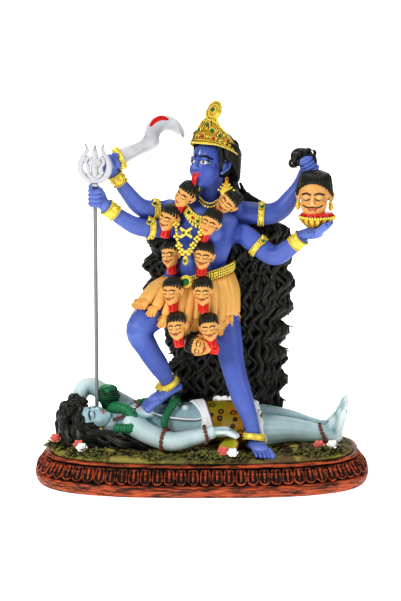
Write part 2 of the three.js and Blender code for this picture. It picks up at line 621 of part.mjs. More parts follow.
function cobra() {
  const body = [
    [
      [-32, 3, 12.5, 1.7], [-30.4, 0, 14, 1.7], [-26.6, -3.2, 14.2, 1.7], [-23, -6, 11, 1.6],
      [-24.6, -8, 8.6, 1.6], [-29.4, -6.6, 8.2, 1.5],
    ],
    [[-9.4, 0.8, 15, 1.5], [-10.6, -2.4, 14.2, 1.6], [-12.6, -5, 11.2, 1.4], [-14.4, -6.4, 8, 0.7]],
  ].map((rows) => {
    const points = rows.map(([x, y, z]) => shivaAt(x, y, z));
    return limb(points, rows.map((row) => shivaSize(row[3])), { sides: 4, rings: rows.length + 1 });
  });
  const hood = limb(
    pointsOf(shivaAt, [[-32.5, 3.4, 11.5], [-32.7, 3.4, 16.3], [-32.8, 3, 19.8]]),
    radiiOf(shivaSize, [2.4, 4, 2.4]),
    { sides: 6, rings: 5, flat: 0.4, blunt: 0.7 },
  );
  return [...body, hood];
}

function drum() {
  const waist = shivaAt(11.4, -11.2, 4.2);
  const axis = V(0.5, 0.5, -0.7);
  const reach = shivaSize(4);
  const profile = [[0, -1], [1, -1], [0.5, 0], [0.8, 0.9], [0, 1]];
  const corners = profile.map(([r, h]) => new THREE.Vector2(r * shivaSize(3.6), h * reach));
  const body = new THREE.LatheGeometry(corners, 9);
  body.applyQuaternion(new THREE.Quaternion().setFromUnitVectors(V(0, 1, 0), axis.normalize()));
  body.translate(waist.x, waist.y, waist.z);
  return solid(body);
}

// The belt of cloth and the skin round his hips
function loincloth() {
  const skin = limb(
    pointsOf(shivaAt, [[3, 2, 8.2], [9, 1.8, 8.3], [16, 1.7, 8.1]]),
    radiiOf(shivaSize, [7.6, 8, 8.2]),
    { sides: 8, rings: 3, flat: 0.98, side: V(0, 0, 1), blunt: 0.05 },
  );
  const waistband = limb(
    pointsOf(shivaAt, [[-0.5, 2.2, 8.1], [3.2, 2, 8.2]]),
    radiiOf(shivaSize, [7.5, 8.1]),
    { sides: 8, rings: 3, flat: 0.98, side: V(0, 0, 1), blunt: 0.05 },
  );
  return [skin, waistband];
}

// The ground: a low uneven mound inside the rim, with leafy tufts and flowers
function groundHeight(x, y) {
  const [across, deep] = [(22 * x) / PLINTH_LENGTH, (23 * y) / PLINTH_DEPTH];
  const swell = Math.sin(across + 1) * 0.4 + Math.sin(deep + across * 0.45) * 0.4;
  return PLINTH_HEIGHT + GROUND_THICKNESS * (1 + 0.5 * swell);
}

function ground() {
  const insets = [GROUND_INSET, GROUND_INSET * 1.12, GROUND_INSET * 3];
  const sides = 20;
  return reshapedBall(sides, insets.length + 1, (turn, share) => {
    const ring = Math.round(share * (insets.length + 1));
    if (ring === 0) return V(0, 0, PLINTH_HEIGHT + FIT_GAP);
    if (ring > insets.length) return V(0, 0, groundHeight(0, 0));
    const place = outlinePlace(turn / TAU, insets[ring - 1], PLINTH_HEIGHT + FIT_GAP);
    if (ring > 1) place.z = groundHeight(place.x, place.y);
    return place;
  });
}

function planting() {
  const tufts = [-0.41, -0.27, -0.14, 0.02, 0.18, 0.33].map((share, i) => {
    const x = share * PLINTH_LENGTH;
    const margin = GROUND_INSET + TUFT_HEIGHT * (i % 2 === 0 ? 0.9 : 1.3);
    const y = margin - PLINTH_DEPTH / 2 + (share * 2.17) ** 4 * PLINTH_DEPTH * 0.26;
    return reshapedBall(5, 3, (turn, level) => {
      const leaf = 1 + 0.2 * Math.cos(turn * 2);
      const reach = Math.sin(level * Math.PI) * (TUFT_LENGTH / 2) * leaf;
      const height = PLINTH_HEIGHT + (TUFT_HEIGHT / 2) * (1.1 - Math.cos(level * Math.PI));
      return V(x + Math.cos(turn) * reach, y + Math.sin(turn) * reach * 0.62, height);
    });
  });
  const places = [
    [-0.425, 0], [-0.365, -0.04], [-0.35, -0.2], [0.06, -0.27], [0.085, -0.33], [0.345, -0.11],
    [0.385, -0.14],
  ];
  const half = FLOWER_WIDTH / 2;
  const flowers = places.map(([x, y]) => {
    const centre = V(x * PLINTH_LENGTH, y * PLINTH_DEPTH, PLINTH_HEIGHT + half * 1.55);
    return ellipsoid(centre, [half, half * 0.77, half * 0.92], undefined, [4, 3]);
  });
  return [...tufts, ...flowers];
}

// The trident: a leaning shaft that runs on into the middle prong, and two outer prongs
// that swing out from its socket in one bow. extra makes it that much thicker all round, to
// cut the room it needs out of the pieces that it stands in and passes through.
function trident(extra = 0) {
  const socket = SHAFT_FIST.clone().addScaledVector(SHAFT_DIRECTION, kaliSize(3.4));
  const frame = [V(1, 0, 0), V(0, -1, 0), SHAFT_DIRECTION];
  const at = (side, up) => {
    return placed(socket, frame, side * TRIDENT_HEAD_WIDTH, 0, up * TRIDENT_HEAD_HEIGHT);
  };
  const shares = (list) => list.map((share) => (share * SHAFT_DIAMETER) / 2 + extra);
  const foot = SHAFT_FOOT.clone().addScaledVector(SHAFT_DIRECTION, -extra);
  const stem = [foot, SHAFT_FIST, at(0, 0), at(0, 0.3), at(0, 0.5), at(0, 0.7), at(0.02, 1)];
  const shaft = limb(stem, shares([1, 1, 1.7, 1.85, 1.15, 1.45, 0.3]), { sides: 5, rings: 8 });
  const side = [[0.24, 1], [0.2, 0.86], [0.33, 0.7], [0.48, 0.45], [0.34, 0.2]];
  const bow = [...side.map(([x, z]) => at(-x, z)), at(0, 0.08), ...side.reverse().map(([x, z]) => at(x, z))];
  const thick = shares([0.3, 0.7, 0.9, 1.1, 1.15, 1.3, 1.15, 1.1, 0.9, 0.7, 0.3]);
  const prongs = limb(bow, thick, { sides: 4, rings: 12, flat: 0.8 });
  const curls = [-1, 1].map((mirror) => {
    const bend = [[mirror * 0.04, 0.3], [mirror * 0.2, 0.42], [mirror * 0.2, 0.58], [mirror * 0.04, 0.6]];
    return limb(bend.map(([x, z]) => at(x, z)), shares([0.75, 0.75, 0.7, 0.7]), { sides: 4, rings: 5 });
  });
  return join([shaft, prongs, ...curls]);
}

// The sword's blade outline, along and across its own line from the guard, in hundredths
// of its length
const BLADE_OUTLINE = [
  [2, -10.4], [27, -8.4], [50, -8.9], [60, -5.4], [65, 4], [73, 8.4], [82, 5.9], [95.5, -12.9],
  [100, 2.5], [90.6, 24.3], [73, 31.7], [56, 26.7], [43, 12.4], [2, 10.4],
];

function sword(extra = 0) {
  const corner = ([x, y]) => new THREE.Vector2(x, y).multiplyScalar(BLADE_LENGTH / 100);
  const outlineOfBlade = new THREE.Shape(BLADE_OUTLINE.map(corner));
  const bevel = BLADE_THICKNESS * 0.3;
  const blade = new THREE.ExtrudeGeometry(outlineOfBlade, {
    depth: BLADE_THICKNESS - 2 * bevel,
    bevelEnabled: true,
    bevelThickness: bevel,
    bevelSize: bevel,
    bevelOffset: -bevel,
    bevelSegments: 1,
  });
  blade.translate(0, 0, -(BLADE_THICKNESS - 2 * bevel) / 2);
  blade.rotateX(Math.PI / 2);
  blade.rotateY(-Math.atan2(SWORD_DIRECTION.z, SWORD_DIRECTION.x));
  const guardPlace = RAISED_FIST.clone().addScaledVector(SWORD_DIRECTION, kaliSize(3));
  blade.translate(guardPlace.x, guardPlace.y, guardPlace.z);
  const onBar = (length) => RAISED_FIST.clone().addScaledVector(SWORD_DIRECTION, kaliSize(length));
  const hilt = strand([onBar(-3.2), onBar(3.4)], HILT_DIAMETER / 2 + extra, 3, 8);
  const guard = band(onBar(3.2), SWORD_DIRECTION, kaliSize(1.9), kaliSize(1.4) + extra * 2, kaliSize(0.4));
  return join([solid(blade), hilt, guard]);
}

function heldHead(extra = 0) {
  const frame = frameOf(8, 0, 0);
  const half = HELD_HEAD_HEIGHT / 2;
  const centre = DISH_CENTRE.clone().add(V(-0.1 * half, 0.1 * half, 1.05 * half));
  const bowl = [[0, -1], [0.45, -1], [1, -0.1], [1, 0.04], [0, 0.1]];
  const dish = new THREE.LatheGeometry(
    bowl.map(([r, h]) => new THREE.Vector2(r * (DISH_DIAMETER / 2 + extra), h * (DISH_HEIGHT + extra))),
    14,
  );
  dish.rotateX(Math.PI / 2);
  dish.translate(DISH_CENTRE.x, DISH_CENTRE.y, DISH_CENTRE.z);
  const sides = [-1, 1].map((side) => [
    ellipsoid(
      placed(centre, frame, side * half * 0.82, -0.05 * half, -0.14 * half),
      [0.17, 0.17, 0.3].map((share) => share * half), frame, [5, 4],
    ),
    ellipsoid(
      placed(centre, frame, side * half * 0.76, 0.06 * half, -0.5 * half),
      [0.17, 0.12, 0.21].map((share) => share * half), frame, [5, 3],
    ),
  ]);
  const knot = limb(
    [
      placed(centre, frame, -0.11 * half, 0, half * 0.8),
      TOPKNOT_GRIP,
      placed(TOPKNOT_GRIP, frame, kaliSize(-1.5), kaliSize(-0.5), kaliSize(3.2)),
      placed(TOPKNOT_GRIP, frame, kaliSize(-2.9), kaliSize(-0.5), kaliSize(1.6)),
    ],
    [half * 0.55, kaliSize(1.1), kaliSize(2.6), kaliSize(2.2)].map((r) => r + extra),
    { sides: 6, rings: 6 },
  );
  const face = carvedHead(centre, frame, [0.82, 0.8, 1].map((share) => share * half + extra), {
    detail: [10, 8], hairSwell: 0.12,
  });
  return join(extra > 0 ? [face, solid(dish), knot] : [face, solid(dish), sides, knot]);
}

const group = new THREE.Group();

const paint = (colour, roughness, metalness = 0) => {
  return new THREE.MeshStandardMaterial({ color: colour, roughness, metalness });
};

function addPiece(name, made, material) {
  const { vertProperties, triVerts } = made.getMesh();
  const geometry = new THREE.BufferGeometry();
  geometry.setAttribute('position', new THREE.BufferAttribute(Float32Array.from(vertProperties), 3));
  geometry.setIndex(new THREE.BufferAttribute(Uint32Array.from(triVerts), 1));
  geometry.computeVertexNormals();
  const mesh = new THREE.Mesh(geometry, material);
  mesh.name = name;
  group.add(mesh);
}

const plinth = makePlinth();
const lowerFigure = join([ground(), planting(), sleeper(), sleeperHair(), cobra(), drum(), loincloth()])
  .subtract(plinth.translate([0, 0, FIT_GAP]))
  .subtract(trident(FIT_GAP));
const goddess = standOn(
  join([
    kaliTorso(), kaliHead(), crown(), hair(), skirt(), garland(), kaliArms(), kaliBands(), kaliLegs(),
    necklaces(),
  ]),
  lowerFigure,
)
  .subtract(trident(FIT_GAP))
  .subtract(sword(FIT_GAP))
  .subtract(heldHead(FIT_GAP));
addPiece('plinth', plinth, paint('#7a3a26', 0.6));
addPiece('shiva', lowerFigure, paint('#a9c8cc', 0.45));
addPiece('kali', goddess, paint('#5566bc', 0.4));
addPiece('held_head', heldHead(), paint('#f0c070', 0.5));
addPiece('trident', trident(), paint('#a4a6a8', 0.35, 0.6));
addPiece('sword', sword(), paint('#e4e4e8', 0.3, 0.6));

export default group;
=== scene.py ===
import json
import math

import bpy
import numpy as np
from mathutils import Matrix, Vector

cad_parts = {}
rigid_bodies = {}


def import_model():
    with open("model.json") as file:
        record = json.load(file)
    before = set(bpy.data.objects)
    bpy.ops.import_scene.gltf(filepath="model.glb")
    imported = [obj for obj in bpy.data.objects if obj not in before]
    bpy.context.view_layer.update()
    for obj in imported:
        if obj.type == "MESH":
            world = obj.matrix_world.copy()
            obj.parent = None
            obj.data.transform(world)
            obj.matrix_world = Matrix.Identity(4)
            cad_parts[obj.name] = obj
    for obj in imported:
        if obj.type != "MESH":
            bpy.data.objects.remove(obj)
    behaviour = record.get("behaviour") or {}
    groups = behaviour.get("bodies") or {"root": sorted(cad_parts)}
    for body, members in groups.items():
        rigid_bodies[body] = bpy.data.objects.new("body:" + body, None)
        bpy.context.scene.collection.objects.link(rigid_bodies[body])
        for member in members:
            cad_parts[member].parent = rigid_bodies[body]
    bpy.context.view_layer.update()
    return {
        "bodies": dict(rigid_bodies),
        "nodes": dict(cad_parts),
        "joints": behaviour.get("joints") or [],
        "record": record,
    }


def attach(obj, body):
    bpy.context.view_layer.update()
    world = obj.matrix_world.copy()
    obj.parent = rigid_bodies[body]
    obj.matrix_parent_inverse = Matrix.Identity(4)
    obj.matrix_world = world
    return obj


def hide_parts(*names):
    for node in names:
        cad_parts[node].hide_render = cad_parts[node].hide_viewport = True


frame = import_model()

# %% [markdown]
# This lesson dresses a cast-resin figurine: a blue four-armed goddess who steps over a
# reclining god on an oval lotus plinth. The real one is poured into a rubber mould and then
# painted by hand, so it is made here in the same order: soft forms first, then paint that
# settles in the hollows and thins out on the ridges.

# %% [markdown]
# Every place on the standing goddess is given in hundredths of her height above the plinth,
# and on the reclining god in hundredths of his length. A sculptor measures in the same way,
# with the figure's own height as the yardstick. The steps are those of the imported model.

# %% Yardsticks
MM = 0.001
PLINTH_LENGTH, PLINTH_DEPTH, PLINTH_TOP = 200 * MM, 100 * MM, 18.5 * MM
HER_UNIT = 210 * MM / 100
HIS_UNIT = 172 * MM / 100


def her(x, y, z):
    return Vector((x * HER_UNIT, y * HER_UNIT, PLINTH_TOP + z * HER_UNIT))


def his(x, y, z):
    return Vector((x * HIS_UNIT, y * HIS_UNIT, PLINTH_TOP + z * HIS_UNIT))


def scaled(unit, *numbers):
    """Several sizes in one unit, such as a limb's radii along its length."""
    return [number * unit for number in numbers]


def mm(x, y, z):
    """A step to the right, to the back and up, in millimetres."""
    return Vector((x, y, z)) * MM


def turning(turn, nod, lean):
    """The rotation of a head or hand: turned to the viewer's right, nodded back, leaned."""
    return (Matrix.Rotation(math.radians(turn), 3, "Z")
            @ Matrix.Rotation(math.radians(lean), 3, "Y")
            @ Matrix.Rotation(math.radians(-nod), 3, "X"))


def beside(origin, turned, side, forward, up):
    """A place given to the side, forward and up of an origin, where forward faces the viewer."""
    return origin + turned @ Vector((side, -forward, up))


STRAIGHT = Matrix.Identity(3)
HER_BODY = turning(-18, 0, 0)
HER_AHEAD = HER_BODY @ Vector((0, -1, 0))
HER_HEAD = turning(-40, 6, 0)
HER_HEAD_CENTRE = her(3.1, -1.4, 81.9)
print("Her crown may reach", round(her(0, 0, 100).z * 1000, 1), "mm")

# %% [markdown]
# The camera stands where the photographer's did, about 1.2 m away and looking 11 degrees
# down. A long lens keeps the plinth's oval flat. The floor and the light are those of a
# product photograph: white paper, a large soft light from each side and from above, and a
# bright room.

# %% Camera, floor and lights
CAMERA_TILT = 11.145
CAMERA_LENS = 123.57
CAMERA_PLACE = mm(-0.87, -1200, 344.09)


def set_camera():
    data = bpy.data.cameras.new("photo_camera")
    data.lens = CAMERA_LENS
    data.sensor_width = 36
    camera = bpy.data.objects.new("photo_camera", data)
    camera.location = CAMERA_PLACE
    camera.rotation_euler = (math.radians(90 - CAMERA_TILT), 0, 0)
    bpy.context.collection.objects.link(camera)
    bpy.context.scene.camera = camera


def add_softbox(name, place, target, size, watts):
    data = bpy.data.lights.new(name, "AREA")
    data.shape, data.size, data.energy = "DISK", size, watts
    light = bpy.data.objects.new(name, data)
    light.location = place
    light.rotation_euler = (Vector(target) - Vector(place)).to_track_quat("-Z", "Y").to_euler()
    bpy.context.collection.objects.link(light)


set_camera()
add_softbox("left_softbox", (-0.75, -0.75, 0.7), (0, 0, 0.1), 0.35, 7.5)
add_softbox("right_softbox", (0.85, -0.6, 0.5), (0, 0, 0.1), 0.4, 2.6)
add_softbox("overhead_softbox", (0.1, 0.1, 1.1), (0, 0, 0.1), 0.5, 3)

world = bpy.data.worlds.new("bright_room")
bpy.context.scene.world = world
world.use_nodes = True
world.node_tree.nodes["Background"].inputs["Color"].default_value = (1, 1, 1, 1)
world.node_tree.nodes["Background"].inputs["Strength"].default_value = 0.18
bpy.context.scene.view_settings.view_transform = "Standard"
bpy.context.scene.view_settings.look = "Medium High Contrast"

# %% [markdown]
# A few tools stand for a modeller's hands. A ball and a limb are both begun from Blender's
# sphere, because a sphere is closed and its rings slide along a smooth line without a tear.
# Many of them pressed together and remeshed behave like clay: the voxel remesh melts the
# seams, and a smoothing pass does what a wet finger does.

# %% Modelling tools
CAP_RINGS = 3


def deselect_all():
    for piece in bpy.context.selected_objects:
        piece.select_set(False)


def make_active(piece):
    deselect_all()
    piece.select_set(True)
    bpy.context.view_layer.objects.active = piece


def coordinates(piece):
    co = np.empty(len(piece.data.vertices) * 3)
    piece.data.vertices.foreach_get("co", co)
    return co.reshape(-1, 3)


def set_coordinates(piece, co):
    piece.data.vertices.foreach_set("co", np.asarray(co, float).ravel())
    piece.data.update()


def add_ball(segments, rings):
    deselect_all()
    bpy.ops.mesh.primitive_uv_sphere_add(segments=segments, ring_count=rings, radius=1)
    return bpy.context.object


def ball(centre, radii, turned=STRAIGHT, segments=16, rings=10):
    """An ellipsoid, with half sizes to its side, forward and up."""
    made = add_ball(segments, rings)
    shape = turned @ Matrix.Diagonal(radii)
    made.data.transform(Matrix.Translation(centre) @ shape.to_4x4())
    return made


def smooth_line(values, shares):
    """Values on a smooth line through the given ones, at shares of the way from 0 to 1."""
    values = np.asarray(values, float).reshape(len(values), -1)
    ends = 2 * values[0] - values[1], 2 * values[-1] - values[-2]
    padded = np.vstack([ends[0], values, ends[1]])
    at = np.clip(np.asarray(shares, float) * (len(values) - 1), 0, len(values) - 1 - 1e-9)
    low = at.astype(int)
    t = (at - low)[:, None]
    a, b, c, d = (padded[low + step] for step in range(4))
    return 0.5 * (2 * b + (c - a) * t + (2 * a - 5 * b + 4 * c - d) * t**2
                  + (3 * b - 3 * c + d - a) * t**3)


def unit_rows(vectors):
    return vectors / np.maximum(np.linalg.norm(vectors, axis=1, keepdims=True), 1e-12)


def line_frames(points, shares, side):
    """Places on a line, with its direction and two directions square to it at each."""
    line = smooth_line(points, shares)
    ahead = smooth_line(points, np.clip(shares + 1e-3, 0, 1))
    behind = smooth_line(points, np.clip(shares - 1e-3, 0, 1))
    along = unit_rows(ahead - behind)
    side = np.asarray(side, float)
    deep = unit_rows(side - (along @ side)[:, None] * along)
    return line, along, np.cross(deep, along), deep


def limb(points, radii, sides=12, rings=None, flat=1.0, side=(0, 1, 0), blunt=0.8, relief=None):
    """A round-ended limb through the points. flat squeezes it along the side direction, and
    relief(turn, share) swells it by a factor."""
    rings = rings or 5 * len(points)
    made = add_ball(sides, rings)
    co = coordinates(made)
    ring = np.rint(np.arccos(np.clip(-co[:, 2], -1, 1)) / math.pi * rings)
    turn = np.arctan2(co[:, 1], co[:, 0])
    share = np.clip((ring - CAP_RINGS) / (rings - 2 * CAP_RINGS), 0, 1)
    end = np.clip(np.minimum(ring, rings - ring) / CAP_RINGS, 0, 1) * math.pi / 2
    line, along, wide, deep = line_frames([tuple(p) for p in points], share, side)
    radius = smooth_line(radii, share)[:, 0]
    tip = np.where(ring < rings / 2, -1, 1) * radius * blunt * np.cos(end)
    reach = radius * np.sin(end) * (relief(turn, share) if relief else 1)
    set_coordinates(made, line + along * tip[:, None] + wide * (np.cos(turn) * reach)[:, None]
                    + deep * (np.sin(turn) * reach * flat)[:, None])
    return made


def flatten(parts):
    for part in parts:
        if isinstance(part, (list, tuple)):
            yield from flatten(part)
        else:
            yield part


def named(name, piece):
    piece.name = piece.data.name = name
    return piece


def gather(name, *parts):
    """Joins parts into one piece, as a caster's mould does."""
    parts = list(flatten(parts))
    deselect_all()
    for part in parts:
        part.select_set(True)
    bpy.context.view_layer.objects.active = parts[0]
    bpy.ops.object.join()
    return named(name, bpy.context.object)


def apply_modifier(piece, kind, **settings):
    make_active(piece)
    made = piece.modifiers.new(kind.title(), kind)
    for setting, value in settings.items():
        setattr(made, setting, value)
    bpy.ops.object.modifier_apply(modifier=made.name)


def model_clay(name, parts, voxel, smoothing):
    whole = gather(name, parts)
    apply_modifier(whole, "REMESH", mode="VOXEL", voxel_size=voxel)
    apply_modifier(whole, "SMOOTH", factor=0.5, iterations=smoothing)
    return whole


def copies(model, moves, name):
    """One piece that holds a copy of a small model at each move."""
    co = np.c_[coordinates(model), np.ones(len(model.data.vertices))]
    faces = [tuple(p.vertices) for p in model.data.polygons]
    places = [(co @ np.array(move).T)[:, :3] for move in moves]
    every = [tuple(v + i * len(co) for v in face) for i in range(len(moves)) for face in faces]
    mesh = bpy.data.meshes.new(name)
    mesh.from_pydata(np.vstack(places).tolist(), [], every)
    made = bpy.data.objects.new(name, mesh)
    bpy.context.collection.objects.link(made)
    bpy.data.objects.remove(model)
    return made


def bead_string(points, radius, spacing=1.9, squash=1.0, rings=4):
    """Round beads set side by side on a line through the points."""
    fine = smooth_line([tuple(p) for p in points], np.linspace(0, 1, 400))
    travelled = np.r_[0, np.cumsum(np.linalg.norm(np.diff(fine, axis=0), axis=1))]
    count = max(2, int(travelled[-1] / (radius * spacing)) + 1)
    where = np.interp(np.linspace(0, travelled[-1], count), travelled, np.arange(400))
    places = fine[np.rint(where).astype(int)]
    bead = ball((0, 0, 0), (radius, radius, radius * squash), segments=7, rings=rings)
    return copies(bead, [Matrix.Translation(p) for p in places], "beads")


print("The tools are ready")

# %% [markdown]
# Hand paint on resin isn't one colour. A thin dark wash runs into the hollows, and a dry
# brush leaves lighter paint on the ridges. The same darker colour in the hollows also stands
# in for painted shade, and the lighter one on the ridges for a painted highlight. To place
# them, each finished mesh is compared with a softened copy of itself: where the surface
# stands out of the soft one it is a ridge, and where it lies inside, a hollow. The result is
# kept on the mesh as the value "relief". The heaviest meshes are thinned only after that, so
# their paint keeps its fine edges.

# %% Finding ridges and hollows
def neighbour_mean(piece, values, passes):
    mesh = piece.data
    edges = np.empty(len(mesh.edges) * 2, np.int64)
    mesh.edges.foreach_get("vertices", edges)
    a, b = edges.reshape(-1, 2).T
    here, there = np.r_[a, b], np.r_[b, a]
    count = np.maximum(np.bincount(here, minlength=len(values)), 1)
    for _ in range(passes):
        mean = np.stack([np.bincount(here, column[there], len(values)) for column in values.T], 1)
        values = 0.35 * values + 0.65 * mean / count[:, None]
    return values


def mark_relief(piece, passes, depth):
    """Compares a piece with its copy softened by so many passes. depth counts as a full ridge."""
    co = coordinates(piece)
    normal = np.empty(len(co) * 3)
    piece.data.vertex_normals.foreach_get("vector", normal)
    out = ((co - neighbour_mean(piece, co, passes)) * normal.reshape(-1, 3)).sum(1)
    kept = piece.data.attributes.new("relief", "FLOAT", "POINT")
    kept.data.foreach_set("value", np.clip(0.5 + out / (2 * depth), 0, 1).astype(np.float32))


def linear(colour):
    """An sRGB hex colour as the linear numbers that Blender mixes with."""
    parts = np.array([int(colour[i:i + 2], 16) for i in (1, 3, 5)]) / 255
    parts = np.where(parts <= 0.04045, parts / 12.92, ((parts + 0.055) / 1.055) ** 2.4)
    return (*parts.tolist(), 1.0)


def put(tree, kind, sockets=None, **settings):
    """Adds a node with its settings, and gives its sockets values or links."""
    made = tree.nodes.new("ShaderNode" + kind)
    for name, value in settings.items():
        setattr(made, name, value)
    for name, value in (sockets or {}).items():
        if isinstance(value, bpy.types.NodeSocket):
            tree.links.new(value, made.inputs[name])
        else:
            made.inputs[name].default_value = value
    return made


def mix(tree, share, low, high):
    """Mixes two colours, each a hex colour or another node's output."""
    made = put(tree, "Mix", data_type="RGBA")
    for socket, value in ((made.inputs[0], share), (made.inputs[6], low), (made.inputs[7], high)):
        if isinstance(value, bpy.types.NodeSocket):
            tree.links.new(value, socket)
        else:
            socket.default_value = linear(value) if isinstance(value, str) else value
    return made.outputs[2]


def between(tree, value, low, high):
    """0 below low and 1 above high, or the other way round if low is the larger."""
    return put(tree, "MapRange", {"Value": value, "From Min": low, "From Max": high}).outputs[0]


def new_material(name, roughness, **principled):
    made = bpy.data.materials.new(name)
    made.use_nodes = True
    shader = made.node_tree.nodes["Principled BSDF"]
    shader.inputs["Roughness"].default_value = roughness
    shader.inputs["Specular IOR Level"].default_value = 0.22
    for socket, value in principled.items():
        shader.inputs[socket.replace("_", " ")].default_value = value
    return made, made.node_tree, shader


def spots(tree, size, detail=2.0, stretch=(1, 1, 1), roughness=0.5):
    """Cloudy noise whose patches are about the given size in metres."""
    place = put(tree, "TexCoord").outputs["Object"]
    grown = put(tree, "Mapping", {"Vector": place, "Scale": tuple(s / size for s in stretch)})
    return put(tree, "TexNoise", {"Vector": grown.outputs[0], "Scale": 1.0, "Detail": detail,
                                  "Roughness": roughness}).outputs["Fac"]


# Acrylic paint has a dull surface with a faint varnish, so it gets a thin coat over a broad
# highlight. The brush's grain is finer than a tenth of a millimetre on the real one, and is
# drawn half a millimetre wide so that it shows.
def painted_resin(name, colour, hollow, ridge, roughness=0.4, wash_and_shade=(0.46, 0.2), brush_and_highlight=(0.54, 0.85),
                  grain=0.5 * MM, bump=0.06 * MM, metallic=0.0, mottle=0.25, crevice=0.0):
    """Acrylic paint on resin: colour, with a wash and painted shade in the hollows and a dry brush
    and painted highlight on the ridges. colour is a hex colour, or None where the mesh carries
    its own paint. crevice is how far apart two surfaces may stand for the wash and painted
    shade to be held between them."""
    made, tree, shader = new_material(name, roughness, Metallic=metallic, Coat_Weight=0.03,
                                      Coat_Roughness=0.2)
    relief = put(tree, "Attribute", attribute_name="relief").outputs["Fac"]
    base = colour
    if colour is None:
        base = put(tree, "Attribute", attribute_name="paint").outputs["Color"]
    cloudy = between(tree, spots(tree, 9 * MM), 0.35, 0.75)
    softened = put(tree, "Math", {0: cloudy, 1: mottle}, operation="MULTIPLY").outputs[0]
    base = mix(tree, softened, base, hollow)
    # The ridge colour is dry brush and painted highlight, and the hollow colour below is wash and painted
    # shade
    base = mix(tree, between(tree, relief, *brush_and_highlight), base, ridge)
    base = mix(tree, between(tree, relief, *wash_and_shade), base, hollow)
    # Where two surfaces stand close, the hollow colour is painted shade as well as wash
    if crevice:
        open_air = put(tree, "AmbientOcclusion", {"Distance": crevice}, samples=4).outputs["AO"]
        base = mix(tree, between(tree, open_air, 0.7, 0.3), base, hollow)
    tree.links.new(base, shader.inputs["Base Color"])
    rough = put(tree, "Bump", {"Height": spots(tree, grain), "Distance": bump, "Strength": 0.6})
    tree.links.new(rough.outputs[0], shader.inputs["Normal"])
    return made


def finish(piece, material, slot, *nodes, relief, smooth=True, thinned=None):
    """Gives a piece its relief, its material and its place in the frame. relief is the passes
    and the depth for mark_relief, and thinned is the share of its triangles that stay."""
    mark_relief(piece, *relief)
    if thinned:
        apply_modifier(piece, "DECIMATE", ratio=thinned)
    piece.data.materials.clear()
    piece.data.materials.append(material)
    piece.data.polygons.foreach_set("use_smooth", [smooth] * len(piece.data.polygons))
    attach(piece, "root")
    if nodes:
        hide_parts(*nodes)
    faces = sum(len(p.vertices) - 2 for p in piece.data.polygons)
    print(f"{piece.name}: {faces} triangles")


print("Paint is mixed from", painted_resin.__name__.replace("_", " "))

# %% [markdown]
# The figurine stands on a sweep of white paper that rises behind it, so there is no horizon.
# The paper is lit from behind, as it is in product photographs, which takes its shadows away.

# %% Paper sweep
PAPER_LENGTH, PAPER_HALF_WIDTH, PAPER_IN_FRONT = 2.4, 0.45, 0.65
PAPER_FLAT, PAPER_CURVED, PAPER_BEND = 1.1, 0.6, 0.38


def make_paper_sweep():
    """Paper that lies flat, curves up in a quarter bend and then rises straight, in metres."""
    deselect_all()
    bpy.ops.mesh.primitive_grid_add(x_subdivisions=4, y_subdivisions=60, size=2)
    sweep = bpy.context.object
    u, v, _ = coordinates(sweep).T
    run = (v + 1) * PAPER_LENGTH / 2
    turn = np.clip((run - PAPER_FLAT) / PAPER_CURVED, 0, 1) * math.pi / 2
    y = np.minimum(run, PAPER_FLAT) - PAPER_IN_FRONT + np.sin(turn) * PAPER_BEND
    z = (1 - np.cos(turn)) * PAPER_BEND + np.maximum(run - PAPER_FLAT - PAPER_CURVED, 0) * 0.6
    set_coordinates(sweep, np.c_[u * PAPER_HALF_WIDTH, y, z])
    sweep.data.polygons.foreach_set("use_smooth", [True] * len(sweep.data.polygons))
    return named("paper_sweep", sweep)


sweep = make_paper_sweep()
paper, _, paper_shader = new_material("backlit_white_paper", 0.9)
paper_shader.inputs["Base Color"].default_value = linear("#FFFFFF")
paper_shader.inputs["Emission Color"].default_value = linear("#FFFFFF")
paper_shader.inputs["Emission Strength"].default_value = 0.72
sweep.data.materials.append(paper)
print("The paper rises", round(coordinates(sweep)[:, 2].max(), 1), "m behind the figurine")

# %% [markdown]
# The plinth is a squared oval with a rolled rim, a ring of lotus petals that point down and
# a plain band under them. Its wall could be drawn as one profile and swept, but stepping an
# outline upwards and in, ring by ring, keeps the oval true on an uneven outline.

# %% The plinth's wall
OUTLINE_SQUARENESS = 2.8
PETAL_PITCH = 7 * MM


def plinth_outline(count, inset=0.0):
    """Evenly spaced places on the plinth's outline, and the outward direction at each."""
    turn = np.linspace(0, 2 * math.pi, 6000, endpoint=False)
    power = 2 / OUTLINE_SQUARENESS
    x = PLINTH_LENGTH / 2 * np.sign(np.cos(turn)) * np.abs(np.cos(turn)) ** power
    y = PLINTH_DEPTH / 2 * np.sign(np.sin(turn)) * np.abs(np.sin(turn)) ** power
    steps = np.hypot(np.diff(x, append=x[0]), np.diff(y, append=y[0]))
    travelled = np.r_[0, np.cumsum(steps)[:-1]]
    chosen = np.searchsorted(travelled, np.linspace(0, steps.sum(), count, endpoint=False))
    x, y = x[chosen % 6000], y[chosen % 6000]
    out_x = np.sign(x) * np.abs(2 * x / PLINTH_LENGTH) ** (OUTLINE_SQUARENESS - 1) / PLINTH_LENGTH
    out_y = np.sign(y) * np.abs(2 * y / PLINTH_DEPTH) ** (OUTLINE_SQUARENESS - 1) / PLINTH_DEPTH
    out = unit_rows(np.c_[out_x, out_y])
    return np.c_[x, y] - out * inset, out


def outline_length():
    places, _ = plinth_outline(3000)
    return np.linalg.norm(np.roll(places, -1, 0) - places, axis=1).sum()


